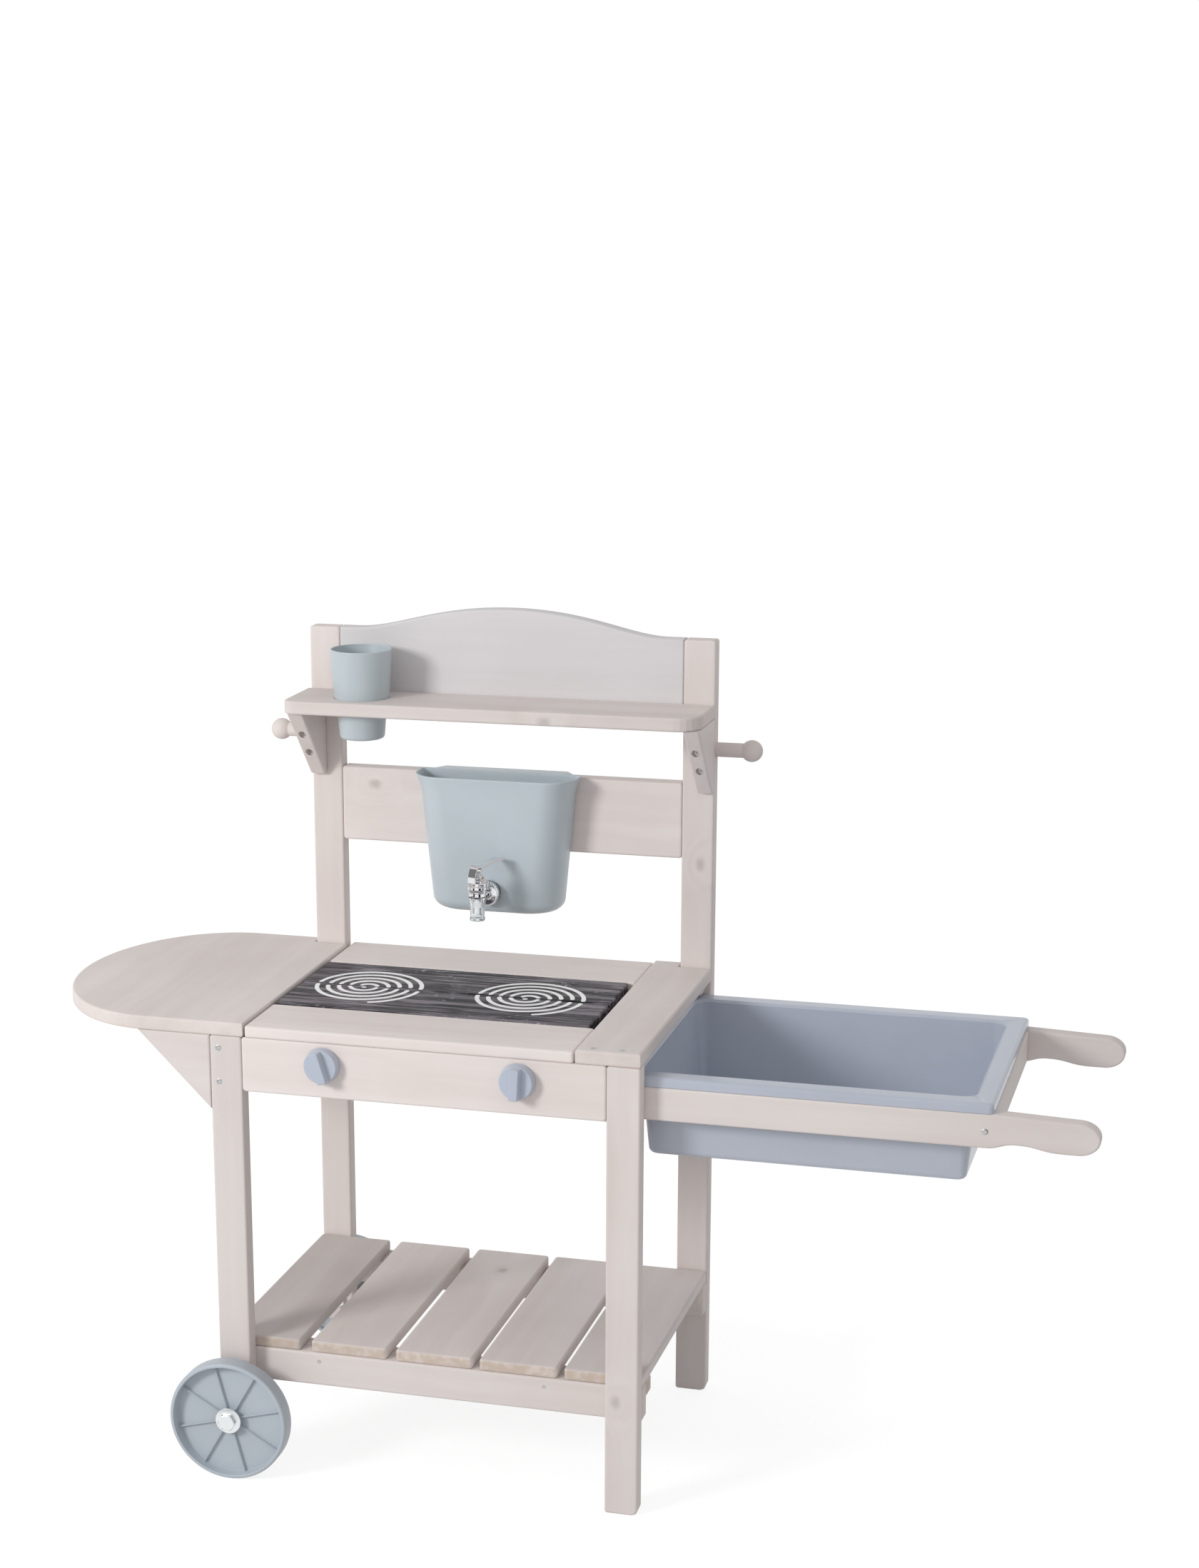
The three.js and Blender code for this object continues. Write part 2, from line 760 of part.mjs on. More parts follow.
function tubSkin(lipLength, lipDepth) {
  const wallX = lipLength / 2 - (crossbarThickness + tubEndGap - lipInset);
  const wallY = lipDepth / 2 - (railFront + railThickness + tubSideGap - stockThickness - lipSideGap);
  const at = (halfX, halfY, corner, z) => level(-halfX, halfX, -halfY, halfY, corner, corner, z);
  const bottom = -tubDepth;
  const levels = [];
  const inset = (drop) => tubTaper * drop / tubDepth;
  const corner = (drop) => tubCorner + (tubFootCorner - tubCorner) * drop / tubDepth;
  const body = (z, shrink, wall) => {
    const back = inset(-z) + shrink + wall;
    levels.push(at(wallX - back, wallY - back, corner(-z) - wall / 2, z));
  };
  quarter(roundSteps, (out, rise) => {
    body(bottom + tubBottomRound * (1 - rise), tubBottomRound * (1 - out), 0);
  });
  body(-lipSkirt - lipRound / 2, 0, 0);
  for (const z of [-lipSkirt - lipRound / 2, -lipDrop]) {
    levels.push(at(lipLength / 2 - lipSkirt, lipDepth / 2 - lipSkirt, lipCorner - lipSkirt, z));
  }
  levels.push(at(lipLength / 2, lipDepth / 2, lipCorner, -lipDrop));
  quarter(lipSteps, (climb, out) => {
    const back = lipRound * (1 - out);
    levels.push(at(lipLength / 2 - back, lipDepth / 2 - back, lipCorner - back / 2, -lipRound * (1 - climb)));
  });
  quarter(lipSteps, (_, out) => {
    const back = tubWall - tubMouthRound * out;
    const z = -tubMouthRound * (1 - out);
    levels.push(at(wallX - back - inset(-z), wallY - back - inset(-z), tubCorner - tubWall / 2, z));
  });
  const floor = bottom + tubWall;
  const innerRound = tubBottomRound - tubWall;
  quarter(roundSteps, (fall, out) => {
    body(floor + innerRound * (1 - fall), innerRound * (1 - out), tubWall);
  });
  return vessel(levels);
}

// Rail of the sliding tub; its outer end is a handle that thins a little, hollowed for the fingers
function railOutline() {
  const length = railOuterEnd - railInnerEnd;
  const handle = length - handleLength;
  const noseX = length - handleNose;
  const start = handle - gripStart;
  const peak = handle + gripPeak - gripStart;
  const low = handle + gripLow + gripStart;
  const half = (railHeight - handleDip) / 2;
  const shape = new THREE.Shape();
  shape.moveTo(0, 0);
  shape.lineTo(start, 0);
  shape.bezierCurveTo((start + peak) / 2, 0, (start + peak) / 2, gripRise, peak, gripRise);
  shape.bezierCurveTo((peak + low) / 2, gripRise, (peak + low) / 2, 0, low, 0);
  shape.lineTo(noseX, 0);
  shape.absellipse(noseX, half, handleNose, half, -Math.PI / 2, Math.PI / 2);
  shape.lineTo(handle, railHeight);
  shape.lineTo(0, railHeight);
  return shape;
}

// The rails' inner ends carry a shoe that runs under the upper guide and a stop under the rail
function makeSlidingTub() {
  const slider = new THREE.Group();
  kitchen.add(slider);
  const rail = upright(slab(railOutline(), railThickness, edgeRound, edgeSteps, railSteps), railThickness);
  const shoeHeight = guideUnderside - runningGap - railTop;
  const shoe = bar([shoeLength, railThickness, shoeHeight + overrun], plain)
    .translate(edgeRound, 0, railHeight - overrun);
  const stopWidth = stockThickness - guideWidth - runningGap - railSideGap;
  const stop = bar([stopLength, stopWidth, stopHeight + overrun], plain)
    .translate(blockLeft - runningGap - stopLength - railInnerEnd, 0, -stopHeight);
  const stopInward = railThickness - stopWidth;
  add(slider, "tub_rail_front", joined(rail, shoe, stop.clone().translate(0, stopInward, 0)),
    limedWood, [railInnerEnd, railFront, railBottom]);
  add(slider, "tub_rail_back", joined(rail, shoe, stop), limedWood,
    [railInnerEnd, railBack, railBottom]);

  const crossY = railFront + railThickness;
  const crossSize = [crossbarThickness, railBack - crossY, railHeight];
  add(slider, "crossbar_right", bar(crossSize), limedWood, [rightCrossbar, crossY, railBottom]);
  add(slider, "crossbar_left", bar(crossSize), limedWood, [leftCrossbar, crossY, railBottom]);

  const lipLeft = leftCrossbar + lipInset;
  const lipRight = rightCrossbar + crossbarThickness - lipInset;
  const lipDepth = backPlane - stockThickness - 2 * lipSideGap;
  add(slider, "tub", tubSkin(lipRight - lipLeft, lipDepth), tubPlastic,
    [(lipLeft + lipRight) / 2, middleDepth, lipTop]);
}

// Front of the water tank's outside at a height above its bottom
function tankFrontAt(rise) {
  return -tankDepth + tankFrontTaper * (1 - rise / tankHeight);
}

// One level of the tank, drawn in by a wall or a rounding, and flared by a share of the mouth's flare
function tankLevel(rise, shrink, flared) {
  const taper = tankTaper * (1 - rise / tankHeight);
  const half = tankLength / 2 - taper - shrink + tankEndFlare * flared;
  const corner = tankCorner + (tankFrontFlare * flared - shrink) / 2;
  const back = Math.max(tankBackCorner - shrink / 2, tankWall);
  const front = tankFrontAt(rise) + shrink - tankFrontFlare * flared;
  return level(-half, half, front, -Math.min(shrink, tankWall), corner, back, rise);
}

// Tank with a flared mouth, its flat back against the board and a lip hooked over it
function tankSkin() {
  const levels = [];
  quarter(roundSteps, (out, rise) => {
    levels.push(tankLevel(tankBottomRound * (1 - rise), tankBottomRound * (1 - out), 0));
  });
  levels.push(tankLevel(tankHeight - tankFlareDrop, 0, 0));
  levels.push(tankLevel(tankHeight - tankFlareDrop / 2, 0, flareShare));
  levels.push(tankLevel(tankHeight - tankWall / 2, 0, 1));
  levels.push(tankLevel(tankHeight, tankWall / 2, 1));
  levels.push(tankLevel(tankHeight - tankWall / 2, tankWall, 1));
  levels.push(tankLevel(tankHeight - tankFlareDrop / 2, tankWall, flareShare));
  levels.push(tankLevel(tankHeight - tankFlareDrop, tankWall, 0));
  const innerRound = tankBottomRound - tankWall;
  quarter(roundSteps, (fall, out) => {
    levels.push(tankLevel(tankWall + innerRound * (1 - fall), tankWall + innerRound * (1 - out), 0));
  });
  return vessel(levels);
}

function makeTank() {
  const tank = new THREE.Group();
  tank.position.set(tankCentre, backPlane - tankBackGap, tankBottom);
  kitchen.add(tank);

  const under = tankHang + runningGap;
  const top = under + hookThickness;
  const reach = stockThickness + 2 * tankBackGap;
  const hook = sideways(slab(polygon([
    [-tankWall, under - hookRoot],
    [0, under - hookRoot],
    [0, under],
    [reach, under],
    [reach, under - hookDrop],
    [reach + hookLip, under - hookDrop],
    [reach + hookLip, top],
    [-tankWall, top],
  ]), hookLength, 0)).translate(-hookLength / 2, 0, 0);
  const hookReach = reach + hookLip + tankWall;
  reshaped(hook, (x, y, z) => [x - Math.sign(x) * hookTaper * (y + tankWall) / hookReach, y, z]);
  const tapX = tapCentre - tankCentre;
  const tapY = tankFrontAt(tapRise);
  const hole = rod(stemRadius + runningGap, -stemInside, stemInside, roundSides)
    .translate(tapX, tapY, tapRise);
  add(tank, "water_tank", cut(joined(tankSkin(), hook), hole), tankPlastic);
  makeTap(tank, [tapX, tapY, tapRise]);
}

// Tap: stem through the wall, knurled collar outside, barrel with a clear spout, lever on top.
// Its own origin is on the tank's wall; -Y points away from the tank. The barrel's ears and the
// lever between them are swivelled a little to the right.
function makeTap(tank, place) {
  const tap = new THREE.Group();
  tap.position.set(...place);
  tank.add(tap);

  const clear = stemRadius + runningGap;
  const lean = collarRadius * tankFrontTaper / tankHeight;
  const sealFace = -runningGap - lean;
  const collarFace = sealFace - sealThickness - runningGap;
  const sealRadius = collarRadius - collarKnurl;
  add(tap, "tap_seal", ring(clear, sealRadius, sealFace - sealThickness, sealFace, roundSides), sealRubber);

  const knurl = new THREE.Shape();
  const teeth = roundSides;
  for (let i = 0; i < 2 * teeth; i++) {
    const angle = (i / teeth) * Math.PI;
    const radius = i % 2 ? collarRadius : collarRadius - collarKnurl;
    const point = [radius * Math.cos(angle), radius * Math.sin(angle)];
    if (i === 0) knurl.moveTo(...point);
    else knurl.lineTo(...point);
  }
  const collar = upright(slab(knurl, collarWidth, collarKnurl, 1), collarWidth);
  const collarBore = rod(clear, -overrun, collarWidth + overrun, roundSides);
  add(tap, "tap_collar", cut(collar, collarBore), chrome, [0, collarFace - collarWidth, 0]);

  const nutFace = tankWall + runningGap + lean;
  add(tap, "tap_lock_nut", cut(rod(lockNutRadius, 0, lockNutThickness, hexSides),
    rod(clear, -overrun, lockNutThickness + overrun, roundSides)), clearPlastic, [0, nutFace, 0]);

  const neckEnd = collarFace - collarWidth - runningGap;
  const barrel = turnedUpright([
    [0, -barrelBottom - nippleLength],
    [nippleRadius, -barrelBottom - nippleLength],
    [nippleRadius, -barrelBottom],
    [barrelFoot - barrelRing, -barrelBottom],
    [barrelFoot, barrelRing - barrelBottom],
    [barrelRadius - barrelRing, barrelShoulder],
    [barrelRadius - barrelRing, barrelTop - barrelBand - barrelRing],
    [barrelRadius, barrelTop - barrelBand],
    [barrelRadius, barrelTop - barrelRing],
    [barrelRadius - barrelRing, barrelTop],
    [0, barrelTop],
  ], roundSides).translate(0, -barrelReach, 0);
  const stem = rod(stemRadius, -barrelReach, stemInside, roundSides);
  const neck = rod(neckRadius, -barrelReach, neckEnd, roundSides);
  const pivotZ = barrelTop + leverPivotRise;
  const earX = leverWidth / 2 + runningGap;
  const cheek = polygon([
    [-leverHub, barrelTop - barrelRing],
    [earBack, barrelTop - barrelRing],
    [leverHub, pivotZ],
    [-leverHub, pivotZ],
  ]);
  const alongX = (radius, from, to) => rod(radius, from, to, smallSides).rotateZ(-Math.PI / 2);
  const swivel = -THREE.MathUtils.degToRad(headSwivel);
  const turnedHead = (geometry) => geometry.rotateZ(swivel).translate(0, -barrelReach, 0);
  const ears = [-earX - earThickness, earX].map((x) => turnedHead(joined(
    sideways(slab(cheek, earThickness, 0)).translate(x, 0, 0),
    alongX(leverHub, x, x + earThickness).translate(0, 0, pivotZ))));
  const pinHole = turnedHead(alongX(leverPin + runningGap, -barrelRadius - overrun, barrelRadius + overrun)
    .translate(0, 0, pivotZ));
  add(tap, "tap_body", cut(joined(barrel, stem, neck, ...ears), pinHole), chrome);

  add(tap, "tap_spout", turnedUpright([
    [spoutBore, 0],
    [spoutRadius, 0],
    [spoutRadius, spoutLength],
    [spoutBore, spoutLength],
    [spoutBore, 0],
  ], roundSides), clearPlastic, [0, -barrelReach, -barrelBottom - runningGap - spoutLength]);

  const lever = new THREE.Group();
  lever.position.set(0, -barrelReach, pivotZ);
  lever.rotation.z = swivel;
  tap.add(lever);
  makeLever(lever, earX + earThickness);
}

// Lever: a leaning plate with a rolled top in front of the pivot, and a thin blade that rises
// from the hub, bends back over it and widens
function makeLever(lever, pinReach) {
  const half = leverPlate / 2;
  const leanTop = leverLean - leverFront;
  const across = (outline, width) => sideways(slab(outline, width, 0, 1, leverSteps))
    .translate(-width / 2, 0, 0);
  const alongX = (radius, reach) => rod(radius, -reach, reach, smallSides).rotateZ(-Math.PI / 2);

  const front = new THREE.Shape();
  front.moveTo(-leverFront, -leverFoot);
  front.lineTo(leverPlate - leverFront, -leverFoot);
  front.quadraticCurveTo(leverPlate - leverFront, leverTop / 2, leanTop + leverPlate, leverTop);
  front.lineTo(leanTop, leverTop);
  front.quadraticCurveTo(-leverFront, leverTop / 2, -leverFront, -leverFoot);
  const plate = across(front, leverWidth);
  const roll = alongX(leverRoll, leverWidth / 2).translate(0, leanTop + half, leverTop);
  const seat = across(polygon([
    [half - leverFront, -half],
    [0, -half],
    [0, half],
    [half - leverFront, half],
  ]), leverWidth);

  const side = new THREE.Shape();
  side.moveTo(-half, 0);
  side.lineTo(half, 0);
  side.bezierCurveTo(half, leverCrown - leverPlate, leverBend + leverPlate, leverRise - leverPlate,
    leverTail, leverRise - leverPlate);
  side.lineTo(leverTail, leverRise);
  side.bezierCurveTo(leverBend, leverRise, -half, leverCrown, -half, 0);
  const widening = (y) => leverRootShare + (1 - leverRootShare) * y / leverTail;
  const blade = reshaped(across(side, leverTailWidth), (x, y, z) => [x * widening(y), y, z]);

  const hub = alongX(leverHub, leverWidth / 2);
  add(lever, "tap_lever", joined(plate, roll, seat, blade, hub, alongX(leverPin, pinReach)), chrome);
}

// Hob knobs turn in the front apron, each held from behind by a screw in a recess
function makeKnobs(apron) {
  const seat = stockThickness - knobRecess;
  const headFront = seat + runningGap;
  knobCentres.forEach((x, i) => {
    const side = i === 0 ? "left" : "right";
    const knob = new THREE.Group();
    knob.position.set(x, 0, knobHeight);
    knob.rotation.y = THREE.MathUtils.degToRad(knobTilts[i]);
    kitchen.add(knob);
    const discFront = -runningGap - knobDisc;
    const disc = turned([
      [0, -knobDisc],
      [knobRadius - 2 * knobRim, -knobDisc],
      [knobRadius - 2 * knobRim, -knobDisc - knobRim],
      [knobRadius - knobRim, -knobDisc - knobRim],
      [knobRadius, -knobDisc],
      [knobRadius, 0],
      [0, 0],
    ], knobSides).translate(0, -runningGap, 0);
    const boss = rod(knobBoss, discFront, seat, smallSides);
    const gripProfile = polygon([
      [-knobGripBase / 2, 0],
      [knobGripBase / 2, 0],
      [knobGripTop / 2, knobGripHeight - knobDisc],
      [-knobGripTop / 2, knobGripHeight - knobDisc],
    ]);
    const grip = slab(gripProfile, 2 * knobRadius, knobRim, 1).translate(0, 0, -knobRadius)
      .rotateX(Math.PI).translate(0, discFront + knobRim, 0);
    const gripEnds = rod(knobRadius - knobRim, -knobGripHeight - knobRim, 0, knobSides);
    const shank = rod(knobScrewShank + runningGap, headFront - knobScrewLength, seat + overrun, smallSides);
    add(knob, `knob_${side}`, cut(joined(disc, boss, common(grip, gripEnds)), shank), tubPlastic);
    add(knob, `knob_screw_${side}`, turned([
      [0, headFront - knobScrewLength + runningGap],
      [knobScrewShank, headFront - knobScrewLength + runningGap + knobScrewTip],
      [knobScrewShank, headFront],
      [knobScrewHead, headFront],
      [knobScrewHead, headFront + knobScrewHeadThickness / 2],
      [knobScrewHead / 2, headFront + knobScrewHeadThickness],
      [0, headFront + knobScrewHeadThickness],
    ], smallSides), zinc);
    const through = rod(knobBoss + runningGap, -overrun, stockThickness, smallSides);
    const recess = rod(knobScrewHead + overrun, seat, stockThickness + overrun, smallSides);
    bore(apron, joined(through, recess).translate(x, 0, knobHeight));
  });
}

// Wheel about Y: tread, recessed web with ribs, and a hub that reaches back to the leg
function wheelShape() {
  const front = -wheelGap - wheelWidth;
  const back = -wheelGap;
  const webFront = front + webRecess;
  const webBack = webFront + webThickness;
  const hubFront = front + hubStandOut;
  const rimInner = wheelRadius - wheelRim;
  const boreRadius = axleRadius + runningGap;
  const body = turned([
    [boreRadius, hubFront],
    [hubRadius, hubFront],
    [hubRadius, webFront],
    [rimInner, webFront],
    [rimInner, front],
    [wheelRadius - wheelEdge, front],
    [wheelRadius, front + wheelEdge],
    [wheelRadius, back - wheelEdge],
    [wheelRadius - wheelEdge, back],
    [rimInner, back],
    [rimInner, webBack],
    [hubRadius, webBack],
    [hubRadius, -runningGap],
    [boreRadius, -runningGap],
    [boreRadius, hubFront],
  ], wheelSides);
  const ribLength = rimInner - hubRadius + 2 * overrun;
  const parts = [body];
  for (let i = 0; i < ribCount; i++) {
    parts.push(new THREE.BoxGeometry(ribLength, ribHeight + overrun, ribThickness)
      .translate(hubRadius - overrun + ribLength / 2, webFront + (overrun - ribHeight) / 2, 0)
      .rotateY((i + ribPhaseShare) / ribCount * Math.PI * 2));
  }
  return joined(...parts);
}

// Axle bolt with its washer against the hub, through the leg to a nut behind
function makeAxle(end, side, leg) {
  const washerBack = -wheelGap - wheelWidth + hubStandOut - runningGap;
  const washerFront = washerBack - washerThickness;
  const headFront = washerFront - axleHeadThickness;
  const nutBack = stockThickness + axleNutThickness;
  const clear = axleRadius + runningGap;
  add(end, `axle_bolt_${side}`, joined(
    rod(axleHead, headFront, washerFront + overrun, hexSides),
    rod(washerRadius, washerFront, washerBack, roundSides),
    rod(axleRadius, washerFront + overrun, nutBack + axleTail, smallSides),
  ), zinc);
  add(end, `axle_nut_${side}`, cut(
    rod(axleHead, stockThickness, nutBack, hexSides),
    rod(clear, stockThickness - overrun, nutBack + overrun, smallSides),
  ), zinc);
  const hole = rod(clear, -overrun, stockThickness + overrun, smallSides);
  end.updateMatrixWorld(true);
  bore(leg, hole.applyMatrix4(end.matrixWorld));
}

function makeWheels(legs) {
  const wheel = wheelShape();
  const ends = [
    ["front", 0, 0, legs.frontLeft],
    ["back", frameDepth, Math.PI, legs.backLeft],
  ];
  for (const [side, y, turn, leg] of ends) {
    const end = new THREE.Group();
    end.position.set(stockWidth / 2, y, wheelRadius);
    end.rotation.z = turn;
    kitchen.add(end);
    add(end, `wheel_${side}`, wheel.clone(), tubPlastic);
    makeAxle(end, side, leg);
  }
}

const legs = makeLegs();
const aprons = makeAprons();
makeLowerShelf();
makeWorktop();
makeRunners();
makeBack(legs);
makeSlidingTub();
makeKnobs(aprons.front);
makeWheels(legs);
makeCup();
makeTank();

// The origin is on the floor, under the middle of the whole object
kitchen.position.set(-(railOuterEnd + leafLeft) / 2, -middleDepth, 0);

export default kitchen;
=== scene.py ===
"""Looks of the toy mud kitchen: camera, studio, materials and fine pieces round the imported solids.

Lengths are metres and colours are 8-bit screen values. Places are worked out from the frame.
"""
import json
import math

import bmesh
import bpy
from mathutils import Color, Matrix, Vector


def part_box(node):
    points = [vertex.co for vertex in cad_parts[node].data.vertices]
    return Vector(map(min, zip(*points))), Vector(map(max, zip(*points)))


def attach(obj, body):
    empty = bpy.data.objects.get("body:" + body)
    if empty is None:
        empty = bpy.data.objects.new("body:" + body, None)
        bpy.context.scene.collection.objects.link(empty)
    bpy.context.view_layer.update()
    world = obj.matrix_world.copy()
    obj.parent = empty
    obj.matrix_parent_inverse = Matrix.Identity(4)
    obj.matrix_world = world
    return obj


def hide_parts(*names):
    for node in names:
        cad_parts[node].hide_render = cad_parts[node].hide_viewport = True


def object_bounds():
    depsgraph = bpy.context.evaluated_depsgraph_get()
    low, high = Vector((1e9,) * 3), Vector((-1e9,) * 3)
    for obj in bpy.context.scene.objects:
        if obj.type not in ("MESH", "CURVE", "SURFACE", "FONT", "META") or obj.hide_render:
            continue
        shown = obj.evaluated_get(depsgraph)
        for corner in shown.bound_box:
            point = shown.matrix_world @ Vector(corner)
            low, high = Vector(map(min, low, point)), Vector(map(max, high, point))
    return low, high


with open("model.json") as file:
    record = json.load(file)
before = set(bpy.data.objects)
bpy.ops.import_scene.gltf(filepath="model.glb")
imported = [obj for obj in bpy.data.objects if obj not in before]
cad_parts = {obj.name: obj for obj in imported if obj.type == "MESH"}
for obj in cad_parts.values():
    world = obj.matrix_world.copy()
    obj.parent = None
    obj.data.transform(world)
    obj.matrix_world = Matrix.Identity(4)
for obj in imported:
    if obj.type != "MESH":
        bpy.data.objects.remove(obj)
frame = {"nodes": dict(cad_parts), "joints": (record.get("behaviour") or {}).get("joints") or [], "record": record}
solid_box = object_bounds()
nodes = frame["nodes"]
record = frame["record"]
body_of = {name: body for body, names in record["behaviour"]["bodies"].items() for name in names}
slot_of = {part["node"]: part["material_slot"] for part in record["subparts"]}

# Camera, set to the photograph's view
camera_place = (0.8500, -3.2874, 1.5413)
camera_yaw = 0.2935
camera_pitch = 0.27
camera_roll = -0.0086
camera_lens = 67.04
camera_sensor = 36
camera_shift = (0.0865, 0.1227)

# Studio
key_place = (-2.17, -2.78, 1.92)
key_size = 0.85
key_power = 62
sky_strength = 0.62
floor_size = 30
floor_glow = 0.82
floor_tone = 0.3
floor_bounce = 0.75
# Cards round the tap: turn to the right of -Y, elevation, width and height, and tone
flag_distance = 1.4
flags = (
    (-28, -4, 0.55, 1.3, 0.03),
    (44, -4, 0.70, 1.3, 0.03),
    (-60, 22, 0.90, 0.9, 0.22),
    (8, -34, 1.60, 0.35, 0.08),
    (10, 42, 1.20, 0.30, 0.12),
)

# Colours
screen_top = 255
limed_light = (229, 221, 218)
limed_deep = (216, 206, 202)
crest_light = (222, 219, 221)
crest_deep = (212, 208, 209)
knot_tone = (178, 168, 162)
end_tone = (196, 177, 160)
stain_dark = (19, 15, 21)
stain_streak = (160, 153, 161)
stain_dust = (176, 172, 178)
zinc_grey = (214, 218, 220)
clear_tint = (232, 238, 240)

# Brighter and darker boards, as shares of the wood's tone
board_shares = {
    "front_apron": 1.03,
    "worktop_board_front": 1.035,
    "worktop_board_back": 1.03,
    "middle_board": 1.03,
    "slat_1": 0.94,
    "slat_2": 1.03,
    "slat_3": 1.045,
    "slat_4": 1.03,
    "post_back_left": 1.02,
    "leg_front_left": 0.97,
    "leaf_bracket_front": 0.98,
    "tub_rail_back": 0.97,
    "crossbar_right": 0.97,
    "upper_shelf": 0.98,
}

# Wood. Noises are scale, detail and roughness. Ranges are two values, and what they are mapped to
# where that isn't zero and one
grain_squeeze = 0.045
piece_spread = 37
bend_noise = (6, 2, 0.5)
bend_reach = 0.02
grain_noise = (70, 4, 0.6)
vein_noise = (24, 3, 0.5)
wash_noise = (5, 3, 0.55)
pore_noise = (520, 2, 0.5)
grain_range = (0.35, 0.65)
broad_range = (0.3, 0.7)
wash_share = 0.45
grain_share = 0.18
pore_share = 0.4
wood_rough = 0.6
wood_gloss = 0.22
wood_bump = 0.16
wood_soft = 0.0016
grain_depth = 0.0005
bevel_samples = 4
end_range = (0.75, 0.98)
end_noise = (90, 3, 0.5)
end_patches = (0.3, 0.6)
end_faint_share = 0.5
end_shares = {"slat": 0.8, "other": 0.15}
knot_radius = 0.011
knot_stretch_share = 0.7
knot_swirl = (0, 3.5 * knot_radius, 0.03, 0)
knot_noise = (160, 3, 0.5)
knot_unevenness = 0.004
knot_range = (0.3 * knot_radius, knot_radius, 0.55, 0)
knot_places = {
    "middle_board": (0.044, 0.0, 0.0745),
    "upper_shelf": (0.338, 0.0, 0.005),
    "leg_front_right": (0.013, 0.0, 0.143),
    "post_back_right": (0.024, 0.0, 0.705),
    "slat_3": (0.052, 0.290, 0.014),
}

# Black stain
streak_noise = (210, 6, 0.8)
band_noise = (70, 4, 0.65)
worn_noise = (9, 3, 0.6)
fleck_noise = (120, 5, 0.7)
patch_noise = (17, 2, 0.5)
streak_range = (0.46, 0.62)
worn_range = (0.34, 0.6)
band_range = (0.47, 0.67, 0, 0.6)
fleck_range = (0.55, 0.68)
patch_range = (0.52, 0.66, 0, 0.8)
stain_rough = 0.46
stain_gloss = 0.12
stain_bump = 0.3

# Plastics: colour, roughness, unevenness of the colour as a share, and gloss
plastics = {
    "hob_paint": ((254, 254, 254), 0.5, 0.008, 0.3),
    "lilac_plastic": ((182, 188, 201), 0.24, 0.03, 0.5),
    "knob_plastic": ((184, 191, 205), 0.4, 0.03, 0.5),
    "wheel_plastic": ((181, 189, 197), 0.42, 0.03, 0.5),
    "cup_plastic": ((188, 198, 203), 0.42, 0.03, 0.5),
    "tank_plastic": ((194, 205, 211), 0.38, 0.03, 0.5),
    "seal_rubber": ((44, 44, 47), 0.7, 0.03, 0.5),
}
mottle_noise = (14, 3, 0.5)
skin_noise = (1300, 2, 0.5)
skin_bump = 0.08
skin_depth = 0.0002
plastic_soft = 0.0008

# Metals: colour, least roughness, how far the roughness rises, and tarnish as a share of the colour
metals = {
    "axle_zinc": ((236, 239, 240), 0.3, 0.12, 0.96),
    "zinc": (zinc_grey, 0.26, 0.14, 0.9),
    "screw_zinc": (zinc_grey, 0.3, 0.2, 0.8),
    "chrome": ((232, 232, 234), 0.03, 0.03, 0.97),
}
scratch_noise = (700, 3, 0.5)
metal_soft = 0.0004
clear_noise = (60, 2, 0.5)
clear_rough = 0.05
clear_index = 1.49

# Looks of solids whose slot has more than one, by slot and first word of the name
own_looks = {
    ("lilac_plastic", "wheel"): "wheel_plastic",
    ("lilac_plastic", "knob"): "knob_plastic",
    ("green_plastic", "cup"): "cup_plastic",
    ("green_plastic", "water"): "tank_plastic",
    ("zinc", "axle"): "axle_zinc",
}


def screen(colour):
    """Linear colour of an 8-bit screen colour, with alpha."""
    return (*Color([c / screen_top for c in colour]).from_srgb_to_scene_linear(), 1)


def toned(colour, share):
    return tuple(min(screen_top, c * share) for c in colour)


def node(tree, kind, inputs=None, **settings):
    """Adds a shader node, sets its options, and sets or links its inputs."""
    made = tree.nodes.new("ShaderNode" + kind)
    for key, value in settings.items():
        setattr(made, key, value)
    for key, value in (inputs or {}).items():
        if isinstance(value, bpy.types.NodeSocket):
            tree.links.new(value, made.inputs[key])
        else:
            made.inputs[key].default_value = value
    return made


def maths(tree, operation, *inputs):
    return node(tree, "Math", dict(enumerate(inputs)), operation=operation).outputs[0]


def vectors(tree, operation, *inputs, output=0):
    return node(tree, "VectorMath", dict(enumerate(inputs)), operation=operation).outputs[output]


def noise(tree, place, scale, detail, roughness, output="Fac"):
    return node(tree, "TexNoise", {"Vector": place, "Scale": scale, "Detail": detail,
                                   "Roughness": roughness}).outputs[output]


def ramp(tree, value, low, high, to_low=0, to_high=1):
    """Maps a range of a value to another, held at its ends and eased between them."""
    return node(tree, "MapRange", {"Value": value, "From Min": low, "From Max": high, "To Min": to_low,
                                   "To Max": to_high}, interpolation_type="SMOOTHSTEP").outputs[0]


def between(tree, share, first, second):
    """Number between two numbers."""
    return node(tree, "Mix", {"Factor": share, "A": first, "B": second}, data_type="FLOAT").outputs[0]


def blended(tree, share, first, second):
    """Colour between two colours."""
    return node(tree, "Mix", {"Factor": share, "A": first, "B": second}, data_type="RGBA").outputs["Result"]


def eased(tree, soft):
    """Normal that looks as if the edges were rounded off."""
    return node(tree, "Bevel", {"Radius": soft}, samples=bevel_samples).outputs[0]


def bumped(tree, height, strength, depth, soft):
    return node(tree, "Bump", {"Height": height, "Strength": strength, "Distance": depth,
                               "Normal": eased(tree, soft)}).outputs[0]


